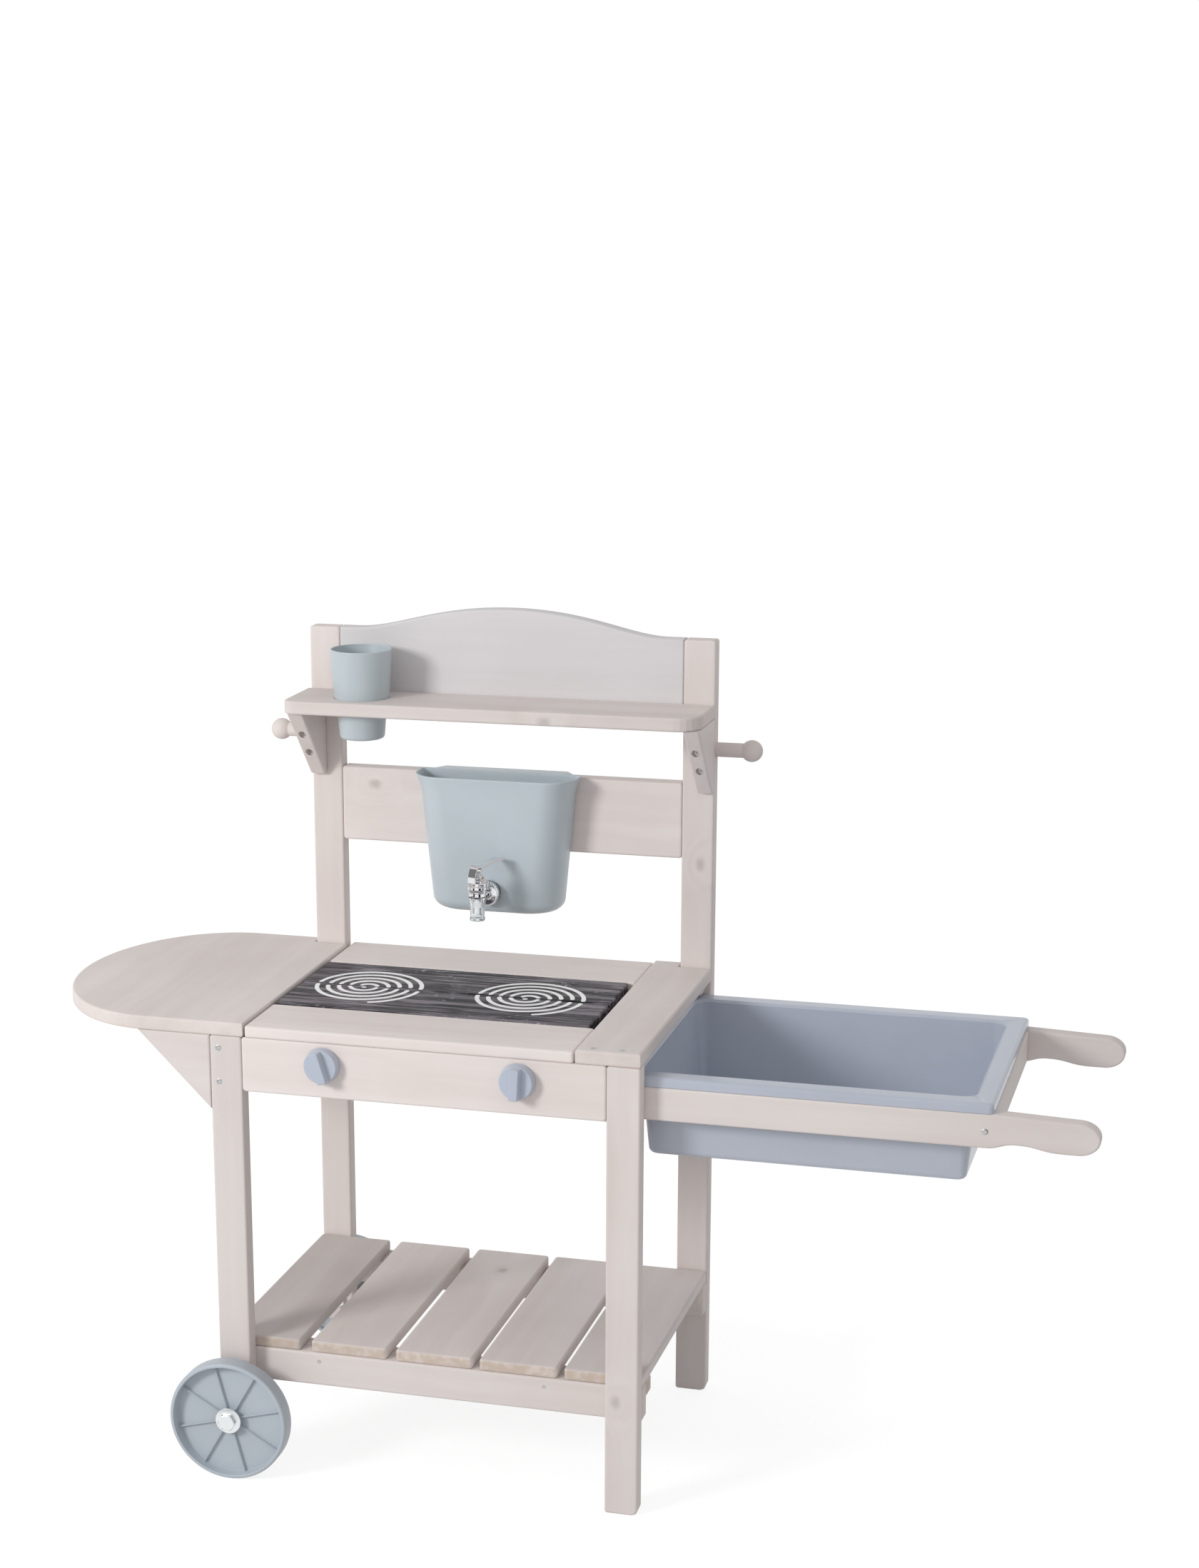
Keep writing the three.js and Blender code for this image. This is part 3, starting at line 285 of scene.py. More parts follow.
def seen_directly(tree):
    """One for rays from the camera and for those that a gloss or glass sends on."""
    ray = node(tree, "LightPath").outputs
    direct = maths(tree, "MAXIMUM", ray["Is Camera Ray"], ray["Is Glossy Ray"])
    return maths(tree, "MAXIMUM", direct, ray["Is Transmission Ray"])


def new_material(name):
    """A material with its tree and its Principled shader."""
    material = bpy.data.materials.new(name)
    material.use_nodes = True
    return material, material.node_tree, material.node_tree.nodes["Principled BSDF"]


def set_finish(tree, shader, colour, normal, **constants):
    tree.links.new(colour, shader.inputs["Base Color"])
    tree.links.new(normal, shader.inputs["Normal"])
    for key, value in constants.items():
        shader.inputs[key.replace("_", " ")].default_value = value


def middle_of(name):
    low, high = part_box(name)
    return (low + high) / 2


def linked(name, data):
    """A new object in the scene."""
    made = bpy.data.objects.new(name, data)
    bpy.context.scene.collection.objects.link(made)
    return made


def make_camera():
    """Camera that looks along Y, turned by its yaw, pitch and roll."""
    data = bpy.data.cameras.new("camera")
    data.lens = camera_lens
    data.sensor_width = camera_sensor
    data.shift_x, data.shift_y = camera_shift
    camera = linked("camera", data)
    turn = Matrix.Rotation(camera_yaw, 4, "Z") @ Matrix.Rotation(math.pi / 2 - camera_pitch, 4, "X")
    camera.matrix_world = Matrix.Translation(camera_place) @ turn @ Matrix.Rotation(camera_roll, 4, "Z")
    bpy.context.scene.camera = camera


def make_world():
    """A plain grey sky for the light, and white where the camera or a reflection meets it."""
    world = bpy.data.worlds.new("studio")
    bpy.context.scene.world = world
    world.use_nodes = True
    tree = world.node_tree
    tree.nodes.clear()
    sky = node(tree, "Background", {"Color": (1, 1, 1, 1), "Strength": sky_strength})
    white = node(tree, "Background", {"Color": (1, 1, 1, 1), "Strength": 1})
    mixed = node(tree, "MixShader", {0: seen_directly(tree), 1: sky.outputs[0], 2: white.outputs[0]})
    node(tree, "OutputWorld", {"Surface": mixed.outputs[0]})


def aimed(place, target):
    """Turn that points an object's -Z at a target."""
    return (Vector(target) - Vector(place)).to_track_quat("-Z", "Y").to_euler()


def make_key_light():
    data = bpy.data.lights.new("key", "AREA")
    data.shape = "SQUARE"
    data.size = key_size
    data.energy = key_power
    light = linked("key", data)
    light.location = key_place
    light.rotation_euler = aimed(key_place, (solid_box[0] + solid_box[1]) / 2)


def stage_plane(name, width, depth, place=(0, 0, 0), turn=(0, 0, 0)):
    """A flat sheet of the studio, which isn't part of the object, and its material's tree."""
    mesh = bpy.data.meshes.new(name)
    corners = [(x * width / 2, y * depth / 2, 0) for x, y in ((-1, -1), (1, -1), (1, 1), (-1, 1))]
    mesh.from_pydata(corners, [], [(0, 1, 2, 3)])
    plane = linked(name, mesh)
    plane.location = place
    plane.rotation_euler = turn
    material, tree, _ = new_material(name)
    tree.nodes.clear()
    mesh.materials.append(material)
    return plane, tree


def make_floor():
    """A white floor that glows to the camera and keeps the object's shadow."""
    _, tree = stage_plane("floor", floor_size, floor_size)
    glow = node(tree, "Emission", {"Color": (1, 1, 1, 1), "Strength": floor_glow})
    matt = node(tree, "BsdfDiffuse", {"Color": (floor_tone, floor_tone, floor_tone, 1)})
    shown = node(tree, "AddShader", {0: glow.outputs[0], 1: matt.outputs[0]})
    bounce = node(tree, "BsdfDiffuse", {"Color": (floor_bounce, floor_bounce, floor_bounce, 1)})
    mixed = node(tree, "MixShader", {0: seen_directly(tree), 1: bounce.outputs[0], 2: shown.outputs[0]})
    node(tree, "OutputMaterial", {"Surface": mixed.outputs[0]})


def make_flags():
    """Dark cards that only polished metal sees, which give it its dark bands."""
    middle = middle_of("tap_body")
    for number, (turn, rise, width, height, tone) in enumerate(flags):
        turn, rise = math.radians(turn), math.radians(rise)
        away = Vector((math.sin(turn) * math.cos(rise), -math.cos(turn) * math.cos(rise), math.sin(rise)))
        place = middle + flag_distance * away
        card, tree = stage_plane(f"flag_{number + 1}", width, height, place, aimed(place, middle))
        dark = node(tree, "Emission", {"Color": (tone, tone, tone, 1)})
        node(tree, "OutputMaterial", {"Surface": dark.outputs[0]})
        for ray in ("camera", "diffuse", "transmission", "volume_scatter", "shadow"):
            setattr(card, f"visible_{ray}", False)


make_camera()
make_world()
make_key_light()
make_floor()
make_flags()
bpy.context.scene.view_settings.view_transform = "Standard"


def grained(tree, axis):
    """Coordinates of a piece, moved apart for each piece, and squeezed along the grain."""
    place = node(tree, "TexCoord").outputs["Object"]
    apart = maths(tree, "MULTIPLY", node(tree, "ObjectInfo").outputs["Random"], piece_spread)
    moved = vectors(tree, "ADD", place, apart)
    squeeze = [1, 1, 1]
    squeeze[axis] = grain_squeeze
    return node(tree, "Mapping", {"Vector": moved, "Scale": squeeze}).outputs[0], moved, place


def wood(name, light, deep, axis, end_share, knot):
    """Whitewashed softwood: faint long grain, blotches of wash, browner ends, and a knot if one is given."""
    material, tree, shader = new_material(name)
    along, moved, place = grained(tree, axis)
    bend = noise(tree, moved, *bend_noise, output="Color")
    bent = vectors(tree, "MULTIPLY_ADD", bend, (bend_reach, bend_reach, bend_reach), along)
    if knot:
        stretch = [1, 1, 1]
        stretch[axis] = knot_stretch_share
        offset = vectors(tree, "MULTIPLY", vectors(tree, "SUBTRACT", place, knot), stretch)
        far = vectors(tree, "LENGTH", offset, output="Value")
        bent = vectors(tree, "ADD", bent, ramp(tree, far, *knot_swirl))
    grain = noise(tree, bent, *grain_noise)
    veins = ramp(tree, noise(tree, bent, *vein_noise), *broad_range)
    cloud = ramp(tree, noise(tree, moved, *wash_noise), *broad_range)
    share = between(tree, wash_share, veins, cloud)
    share = between(tree, grain_share, share, ramp(tree, grain, *grain_range))
    colour = blended(tree, share, screen(deep), screen(light))
    if knot:
        uneven = maths(tree, "MULTIPLY_ADD", noise(tree, place, *knot_noise), knot_unevenness, far)
        colour = blended(tree, ramp(tree, uneven, *knot_range), colour, screen(knot_tone))
    facing = node(tree, "SeparateXYZ", {0: node(tree, "TexCoord").outputs["Normal"]}).outputs[axis]
    end = ramp(tree, maths(tree, "ABSOLUTE", facing), *end_range)
    patches = ramp(tree, noise(tree, place, *end_noise), *end_patches, end_faint_share * end_share, end_share)
    colour = blended(tree, maths(tree, "MULTIPLY", end, patches), colour, screen(end_tone))
    height = between(tree, pore_share, grain, noise(tree, along, *pore_noise))
    normal = bumped(tree, height, wood_bump, grain_depth, wood_soft)
    set_finish(tree, shader, colour, normal, Roughness=wood_rough, Specular_IOR_Level=wood_gloss)
    return material


def stain(name):
    """Black stain worn to greyish streaks along the grain, with a few dusty spots."""
    material, tree, shader = new_material(name)
    along, moved, _ = grained(tree, 0)
    streak = noise(tree, along, *streak_noise)
    cloud = ramp(tree, noise(tree, moved, *worn_noise), *worn_range)
    worn = maths(tree, "MULTIPLY", ramp(tree, streak, *streak_range), cloud)
    share = maths(tree, "MAXIMUM", worn, ramp(tree, noise(tree, along, *band_noise), *band_range))
    colour = blended(tree, share, screen(stain_dark), screen(stain_streak))
    fleck = ramp(tree, noise(tree, moved, *fleck_noise), *fleck_range)
    patch = ramp(tree, noise(tree, moved, *patch_noise), *patch_range)
    colour = blended(tree, maths(tree, "MULTIPLY", fleck, patch), colour, screen(stain_dust))
    normal = bumped(tree, streak, stain_bump, grain_depth, wood_soft)
    set_finish(tree, shader, colour, normal, Roughness=stain_rough, Specular_IOR_Level=stain_gloss)
    return material


def plastic(name, colour, roughness, mottle, gloss):
    """Moulded plastic with a fine skin and a slight unevenness of colour."""
    material, tree, shader = new_material(name)
    place = node(tree, "TexCoord").outputs["Object"]
    cloud = noise(tree, place, *mottle_noise)
    tinted = blended(tree, cloud, screen(toned(colour, 1 - mottle)), screen(toned(colour, 1 + mottle)))
    normal = bumped(tree, noise(tree, place, *skin_noise), skin_bump, skin_depth, plastic_soft)
    set_finish(tree, shader, tinted, normal, Roughness=roughness, Specular_IOR_Level=gloss)
    return material


def metal(name, colour, roughness, rise, tarnish):
    """Metal with a faint unevenness in its gloss."""
    material, tree, shader = new_material(name)
    scratch = noise(tree, node(tree, "TexCoord").outputs["Object"], *scratch_noise)
    uneven = ramp(tree, scratch, *broad_range, roughness, roughness + rise)
    tree.links.new(uneven, shader.inputs["Roughness"])
    tinted = blended(tree, scratch, screen(colour), screen(toned(colour, tarnish)))
    set_finish(tree, shader, tinted, eased(tree, metal_soft), Metallic=1)
    return material


def clear(name):
    """Clear moulded plastic, very faintly clouded."""
    material, tree, shader = new_material(name)
    cloud = noise(tree, node(tree, "TexCoord").outputs["Object"], *clear_noise)
    tinted = blended(tree, cloud, screen(clear_tint), (1, 1, 1, 1))
    set_finish(tree, shader, tinted, eased(tree, metal_soft), Roughness=clear_rough, IOR=clear_index,
               Transmission_Weight=1)
    return material


woods = {}
finishes = {"black_stain": stain("black_stain"), "clear_plastic": clear("clear_plastic")}
finishes |= {name: plastic(name, *look) for name, look in plastics.items()}
finishes |= {name: metal(name, *look) for name, look in metals.items()}


def wood_of(name):
    """Wood of a piece: its grain runs along its longest side, and its tone and knot go by its name."""
    low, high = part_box(name)
    sides = high - low
    axis = max(range(3), key=lambda i: sides[i])
    share = board_shares.get(name, 1)
    tones = (crest_light, crest_deep) if name == "crest_board" else (limed_light, limed_deep)
    ends = end_shares.get(name.split("_")[0], end_shares["other"])
    knot = tuple(low + Vector(knot_places[name])) if name in knot_places else None
    key = (*(toned(tone, share) for tone in tones), axis, ends, knot)
    if key not in woods:
        woods[key] = wood(f"limed_{len(woods) + 1}", *key)
    return woods[key]


def finish_of(name):
    """Material of a solid, from the record's slot and its name."""
    slot = slot_of[name]
    if slot == "limed_wood":
        return wood_of(name)
    return finishes[own_looks.get((slot, name.split("_")[0]), slot)]


for name in slot_of:
    nodes[name].data.materials.clear()
    nodes[name].data.materials.append(finish_of(name))

# Making of meshes
weld = 1e-7
quad_corners = 4
sharp_angle = math.radians(38)
turn_sides = 72
small_sides = 48
neck_sides = 40
rod_sides = 32
corner_sides = 12
round_sides = 8
soft_steps = 2
round_profile = 0.5
# Radius at which a turned form closes on its axis
core = 0.0001
ahead, behind, above = (0, -1, 0), (0, 1, 0), (0, 0, 1)
# Turns an outline in Y and Z, with its thickness along X
sideways = Matrix(((0, 0, 1, 0), (1, 0, 0, 0), (0, 1, 0, 0), (0, 0, 0, 1)))
# Turns an outline in X and Z, with its thickness along Y
upright = Matrix(((1, 0, 0, 0), (0, 0, 1, 0), (0, 1, 0, 0), (0, 0, 0, 1)))


def new_piece(name, shape, body, material):
    """Turns a bmesh into a smooth-shaded piece with crisp edges, which rides a body."""
    bmesh.ops.remove_doubles(shape, verts=shape.verts, dist=weld)
    bmesh.ops.recalc_face_normals(shape, faces=shape.faces)
    for face in shape.faces:
        face.smooth = True
    for edge in shape.edges:
        caps = [face for face in edge.link_faces if len(face.verts) > quad_corners]
        edge.smooth = not caps and edge.calc_face_angle(0) < sharp_angle
    mesh = bpy.data.meshes.new(name)
    shape.to_mesh(mesh)
    shape.free()
    mesh.materials.append(material)
    piece = linked(name, mesh)
    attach(piece, body)
    return piece


def standing_for(name, shape):
    """A finer piece in the place of a solid, with its finish."""
    piece = new_piece(f"{name}_form", shape, body_of[name], finish_of(name))
    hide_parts(name)


def add_skin(shape, rings, matrix=Matrix(), closed=False):
    """Joins rings of points with faces, put in place; the ends are capped, or joined to each other."""
    corners = [[shape.verts.new(matrix @ Vector(point)) for point in ring] for ring in rings]
    pairs = list(zip(corners, corners[1:]))
    if closed:
        pairs.append((corners[-1], corners[0]))
    count = len(corners[0])
    for low, high in pairs:
        for i in range(count):
            j = (i + 1) % count
            shape.faces.new((low[i], low[j], high[j], high[i]))
    if not closed:
        shape.faces.new(reversed(corners[0]))
        shape.faces.new(corners[-1])
    return [corner for ring in corners for corner in ring]


def soften(shape, corners, offset, steps=soft_steps):
    """Rounds off all edges that meet at the corners."""
    edges = list(dict.fromkeys(edge for corner in corners for edge in corner.link_edges))
    bmesh.ops.bevel(shape, geom=edges, offset=offset, segments=steps, profile=round_profile, affect="EDGES")


def arc(steps=round_sides, angle=math.pi / 2):
    """Sines and cosines over an angle from zero, a quarter turn if none is given."""
    return [(math.sin(i / steps * angle), math.cos(i / steps * angle)) for i in range(steps + 1)]


def circle(sides):
    """Cosines and sines round a full turn."""
    return [(math.cos(math.tau * i / sides), math.sin(math.tau * i / sides)) for i in range(sides)]


def turned_to(place, facing):
    """Matrix that puts a form at a place, with its Z axis in a direction."""
    return Matrix.Translation(place) @ Vector(facing).to_track_quat("Z", "Y").to_matrix().to_4x4()


def add_turned(shape, profile, place, facing=above, sides=turn_sides, closed=False):
    """A turned form from (radius, height) pairs, its axis through a place."""
    rings = [[(radius * x, radius * y, height) for x, y in circle(sides)] for radius, height in profile]
    add_skin(shape, rings, turned_to(place, facing), closed)


def add_prism(shape, outline, low, high, matrix=Matrix()):
    """A plate from an outline in X and Y, between two heights, put in place."""
    return add_skin(shape, [[(x, y, height) for x, y in outline] for height in (low, high)], matrix)


def curve(points, steps):
    """Points of a Bezier curve with three or four control points."""
    made = []
    for i in range(steps + 1):
        layer = [Vector(p) for p in points]
        while len(layer) > 1:
            layer = [a.lerp(b, i / steps) for a, b in zip(layer, layer[1:])]
        made.append(tuple(layer[0]))
    return made


def rounded_rectangle(low, high, radii, z):
    """Ring of points round a rectangle; the radii are those of the front and the back corners."""
    front, back = radii
    quarter = arc(corner_sides)
    ring = [(high.x - front * (1 - s), low.y + front * (1 - c)) for s, c in quarter]
    ring += [(high.x - back * (1 - c), high.y - back * (1 - s)) for s, c in quarter]
    ring += [(low.x + back * (1 - s), high.y - back * (1 - c)) for s, c in quarter]
    ring += [(low.x + front * (1 - c), low.y + front * (1 - s)) for s, c in quarter]
    return [(x, y, z) for x, y in ring]


# Tub
tub_wall = 0.0025
tub_drop = 0.105
tub_taper = 0.011
tub_inset = (0.021, 0.023)
tub_corner = 0.018
tub_foot_corner = 0.008
tub_bottom_round = 0.008
lip_drop = 0.0115
lip_round = 0.004
lip_corner = 0.0055
lip_skirt = 0.0025
mouth_round = 0.003


def make_tub():
    """Washing-up tub: drawn-in walls, rounded bottom, and a lip that turns down all round."""
    low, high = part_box("tub")

    def ring(inset, drop, corner):
        edge = Vector((*inset, 0))
        return rounded_rectangle(low + edge, high - edge, (corner, corner), high.z - drop)

    def body(drop, shrink):
        share = drop / tub_drop
        inset = [side + tub_taper * share + shrink for side in tub_inset]
        corner = tub_corner + (tub_foot_corner - tub_corner) * share
        return ring(inset, drop, max(corner - min(shrink, tub_wall) / 2, tub_wall))

    skirt = lip_skirt + lip_round / 2
    rings = [body(tub_drop - tub_bottom_round * (1 - c), tub_bottom_round * (1 - s)) for s, c in arc()]
    rings.append(body(skirt, 0))
    rings += [ring((lip_skirt, lip_skirt), drop, lip_corner - lip_skirt) for drop in (skirt, lip_drop)]
    rings.append(ring((0, 0), lip_drop, lip_corner))
    for s, c in arc():
        back = lip_round * (1 - c)
        rings.append(ring((back, back), lip_round * (1 - s), lip_corner - back / 2))
    rings += [body(mouth_round * (1 - c), tub_wall - mouth_round * c) for s, c in arc()]
    inner = tub_bottom_round - tub_wall
    floor = tub_drop - tub_wall
    rings += [body(floor - inner * (1 - s), tub_wall + inner * (1 - c)) for s, c in arc()]
    shape = bmesh.new()
    add_skin(shape, rings)
    standing_for("tub", shape)


# Water tank
tank_height = 0.1725
tank_length = 0.199
tank_depth = 0.059
tank_taper = 0.016
tank_front_taper = 0.006
tank_wall = 0.0022
tank_corner = 0.038
tank_back_corner = 0.006
tank_round = 0.014
tank_end_flare = 0.0055
tank_front_flare = 0.0015
tank_flare_drop = 0.03
tank_flare_power = 2.2
hook_half = 0.098
hook_taper = 0.018
hook_plate = 0.0022
hook_reach = 0.0228
hook_root = 0.006
hook_drop = 0.012
hook_under = 0.1688
hook_seat = 0.0004
hook_soft = 0.00066
hook_steps = 3


def make_tank():
    """Tank with a flared mouth and a rounded bottom, and the lip that hooks it over the board."""
    low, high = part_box("water_tank")
    centre = (low.x + high.x) / 2
    back = high.y - hook_reach - hook_plate

    def level(rise, shrink, flare):
        climb = 1 - rise / tank_height
        half = tank_length / 2 - tank_taper * climb - shrink + tank_end_flare * flare
        front = back - tank_depth + tank_front_taper * climb + shrink - tank_front_flare * flare
        radii = (tank_corner + (tank_front_flare * flare - shrink) / 2,
                 max(tank_back_corner - shrink / 2, tank_wall))
        near = Vector((centre - half, front))
        far = Vector((centre + half, back - min(shrink, tank_wall)))
        return rounded_rectangle(near, far, radii, low.z + rise)

    rings = [level(tank_round * (1 - c), tank_round * (1 - s), 0) for s, c in arc()]
    flares = [(tank_height - tank_flare_drop * (1 - i / round_sides), (i / round_sides) ** tank_flare_power)
              for i in range(round_sides)]
    rings += [level(rise, 0, flare) for rise, flare in flares]
    half = tank_wall / 2
    rings += [level(tank_height - half * (1 - s), half * (1 - c), 1) for s, c in arc(angle=math.pi)]
    rings += [level(rise, tank_wall, flare) for rise, flare in reversed(flares)]
    inner = tank_round - tank_wall
    rings += [level(tank_wall + inner * (1 - s), tank_wall + inner * (1 - c), 0) for s, c in arc()]
    shape = bmesh.new()
    add_skin(shape, rings)
    add_hook(shape, centre, back, low.z)
    standing_for("water_tank", shape)


def add_hook(shape, centre, back, bottom):
    """Plate that leaves the tank's back edge, crosses the board's top and turns down behind it."""
    reach = hook_reach + hook_plate
    root = hook_seat - tank_wall
    foot = hook_under - hook_root
    profile = [(root, foot), (-hook_seat, foot), (-hook_seat, hook_under), (hook_reach, hook_under),
               (hook_reach, hook_under - hook_drop), (reach, hook_under - hook_drop),
               (reach, hook_under + hook_plate), (root, hook_under + hook_plate)]
    slope = hook_taper / (reach + tank_wall)
    rings = [[(centre + side * (hook_half - slope * (y + tank_wall)), back + y, bottom + z)
              for y, z in profile] for side in (-1, 1)]
    soften(shape, add_skin(shape, rings), hook_soft, hook_steps)


# Cup: radii and heights of its outside, from the foot up; it narrows in the shelf's hole
cup_profile = ((0.0283, 0.0070), (0.0309, 0.0380), (0.0335, 0.0515), (0.0347, 0.0560), (0.0381, 0.1115),
               (0.0383, 0.1130))
cup_foot = 0.0025
cup_foot_round = 0.0045
cup_height = 0.115
cup_wall = 0.0018


def make_cup():
    """Cup with a thin lip, which hangs in the shelf's hole."""
    centre = middle_of("cup")
    foot = cup_profile[0][0] - cup_foot_round
    outside = [(core, cup_foot)]
    outside += [(foot + cup_foot_round * s, cup_foot + cup_foot_round * (1 - c)) for s, c in arc()]
    outside += cup_profile
    half = cup_wall / 2
    rim = cup_profile[-1][0] - half
    lip = [(rim + half * c, cup_height - half * (1 - s)) for s, c in arc(angle=math.pi)]
    inside = [(radius - cup_wall, height) for radius, height in reversed(cup_profile)]
    inside += [(foot, cup_foot + cup_wall), (core, cup_foot + cup_wall)]
    shape = bmesh.new()
    add_turned(shape, outside + lip + inside, (centre.x, centre.y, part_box("cup")[0].z))
    standing_for("cup", shape)


# Knobs
knob_radius = 0.0212
knob_front_radius = 0.0202
knob_disc = 0.0125
knob_depth = 0.0212
knob_edge = 0.0014
knob_gap = 0.0003
grip_foot = 0.0074
grip_top = 0.0053
grip_sink = 0.001
grip_power = 1.4
grip_ease = 0.0007
grip_crown = 0.0005
grip_steps_up = 8
grip_steps_across = 4
knob_tilts = {"knob_left": math.radians(-17), "knob_right": math.radians(3)}


def make_knobs():
    """Each knob is a thick disc, drawn in to the front, with a wedge-shaped grip across it."""
    for name, tilt in knob_tilts.items():
        centre = middle_of(name)
        centre.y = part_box("front_apron")[0].y
        shape = bmesh.new()
        profile = [(core, knob_gap), (knob_radius - knob_edge, knob_gap), (knob_radius, knob_gap + knob_edge)]
        profile += [(knob_front_radius - knob_edge * (1 - c), knob_disc - knob_edge * (1 - s))
                    for s, c in arc()]
        profile.append((core, knob_disc))
        add_turned(shape, profile, centre, ahead)
        rings = []
        for i in range(grip_steps_up + 1):
            climb = i / grip_steps_up
            half = grip_top + (grip_foot - grip_top) * (1 - climb) ** grip_power
            reach = knob_front_radius - knob_edge * (1 + climb) / 2
            depth = knob_disc - grip_sink + (knob_depth - knob_disc + grip_sink) * climb
            rings.append(grip_ring(half, reach, depth))
        rings.append(grip_ring(half - grip_ease, reach - grip_ease, depth + grip_crown))
        add_skin(shape, rings, Matrix.Translation(centre) @ Matrix.Rotation(tilt, 4, "Y"))
        standing_for(name, shape)


def grip_ring(half, reach, depth):
    """Level of a knob's grip: a band across the disc, whose ends follow the disc's edge."""
    ends = []
    for side in (-1, 1):
        for i in range(2 * grip_steps_across + 1):
            across = half * (i / grip_steps_across - 1)
            ends.append((across * -side, -depth, side * math.sqrt(reach ** 2 - across ** 2)))
    return ends


# Wheels: radii and heights from the leg, of the front and of the back, and a rib's cross-section
wheel_radius = 0.075
wheel_edge = 0.003
wheel_sides = 96
wheel_front = ((0.0043, -0.0287), (0.0112, -0.0287), (0.0120, -0.0279), (0.0126, -0.0200),
               (0.0688, -0.0200), (0.0696, -0.0212), (0.0700, -0.0324), (0.0706, -0.0330))
wheel_back = ((0.0700, -0.0090), (0.0700, -0.0170), (0.0120, -0.0170), (0.0120, -0.0003),
              (0.0043, -0.0003))
rib_section = ((-0.0012, -0.0195), (-0.0008, -0.0236), (-0.0004, -0.0242), (0.0004, -0.0242),
               (0.0008, -0.0236), (0.0012, -0.0195))
rib_ends = (0.011, 0.071)
rib_count = 8
rib_phase_share = 0.67
# Axle's washer and shaft: radii and heights from the leg; its head: shares of its reach, and heights
washer_profile = ((core, 0.0290), (0.0152, 0.0290), (0.0164, 0.0294), (0.0160, 0.0300),
                  (0.0132, 0.0308), (core, 0.0308))
shaft_profile = ((0.0040, -0.0305), (0.0040, 0.0295))
head_reach = 0.0112
head_levels = ((1, 0.0304), (1, 0.0352), (0.9, 0.0363), (0.8, 0.0368))


def make_wheels():
    """Moulded wheels: rounded tread, recessed web with thin ribs, and a hub that reaches back to the leg."""
    inner = wheel_radius - wheel_edge
    profile = [*wheel_front]
    profile += [(inner + wheel_edge * s, wheel_front[-1][1] + wheel_edge * (1 - c)) for s, c in arc()]
    profile += [(inner + wheel_edge * s, wheel_back[0][1] - wheel_edge * (1 - c))
                for s, c in reversed(arc())]
    profile += wheel_back
    for side, sign, leg, corner in (("front", 1, "leg_front_left", 0), ("back", -1, "post_back_left", 1)):
        centre = middle_of(f"wheel_{side}")
        centre.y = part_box(leg)[corner].y
        shape = bmesh.new()
        add_turned(shape, [(r, h * sign) for r, h in profile], centre, behind, wheel_sides, closed=True)
        rib = [[(x, depth * sign, across) for across, depth in rib_section] for x in rib_ends]
        for i in range(rib_count):
            turn = Matrix.Rotation((i + rib_phase_share) / rib_count * math.tau * sign, 4, "Y")
            add_skin(shape, rib, Matrix.Translation(centre) @ turn)
        standing_for(f"wheel_{side}", shape)
        make_axle(f"axle_bolt_{side}", centre, (0, -sign, 0))


def make_axle(name, centre, outward):
    """Axle bolt with a dished washer and a hexagon head, whose corners are turned off at the front."""
    shape = bmesh.new()
    add_turned(shape, washer_profile, centre, outward, small_sides)
    rings = []
    for share, height in head_levels:
        ring = []
        for i, (x, y) in enumerate(circle(small_sides)):
            angle = math.tau * i / small_sides
            flat = math.cos(math.pi / 6) / math.cos((angle % (math.pi / 3)) - math.pi / 6)
            radius = head_reach * min(flat, share)
            ring.append((radius * x, radius * y, height))
        rings.append(ring)
    add_skin(shape, rings, turned_to(centre, outward))
    add_turned(shape, shaft_profile, centre, outward, rod_sides)
    standing_for(name, shape)


# Pegs
peg_radius = 0.009
peg_ball = 0.0135
peg_stem = 0.0445
peg_socket = 0.0147
peg_steps = 24


def make_pegs():
    for name, post, corner, side in (("peg_left", "post_back_left", 0, -1),
                                     ("peg_right", "post_back_right", 1, 1)):
        centre = middle_of(name)
        centre.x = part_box(post)[corner].x
        profile = [(core, -peg_socket), (peg_radius, -peg_socket)]
        bend = math.pi - math.asin(peg_radius / peg_ball)
        for s, c in reversed(arc(peg_steps, bend)):
            profile.append((max(peg_ball * s, core), peg_stem + peg_ball * c))
        shape = bmesh.new()
        add_turned(shape, profile, centre, (side, 0, 0), small_sides)
        standing_for(name, shape)


# Tap: radii and heights of the barrel from below up, with a band and rings, of the knurled collar
# from the front, and of the clear spout's outside and inside
barrel_profile = (
    (core, -0.0140), (0.0058, -0.0140), (0.0058, 0.0046), (0.0096, 0.0066), (0.0112, 0.0080),
    (0.0104, 0.0111), (0.0104, 0.0119), (0.0112, 0.0125), (0.0112, 0.0152), (0.0114, 0.0156),
    (0.0114, 0.0164), (0.0122, 0.0170), (0.0122, 0.0197), (0.0114, 0.0201), (0.0114, 0.0209),
)
barrel_radius = 0.0122
barrel_top = 0.0255
barrel_round = 0.0012
barrel_steps = 6
neck_radius = 0.0052
neck_start = 0.004
neck_gap = 0.0003
stem_radius = 0.005
collar_radius = 0.0155
collar_profile = ((0.0056, 0), (0.0100, 0), (0.0108, 0.0006), (0.0139, 0.0006), (collar_radius, 0.0020),
                  (collar_radius, 0.0090), (0.0145, 0.0110), (0.0056, 0.0110))
collar_sides = 120
tooth_sides = 4
collar_knurl = 0.0007
spout_profile = (
    (0.0092, 0), (0.0096, 0.0006), (0.0096, 0.0034), (0.0088, 0.0042), (0.0092, 0.01606),
    (0.0098, 0.019856), (0.0110, 0.025112), (0.0110, 0.0286), (0.0106, 0.0292), (0.0076, 0.0292),
    (0.0066, 0.0146), (0.0062, 0.0030), (0.0066, 0),
)
spout_sides = 64
lever_width = 0.011
lever_plate = 0.0018
lever_front = 0.012
lever_foot = 0.0076
lever_lean = 0.0065
lever_top = 0.0140
lever_roll = 0.002
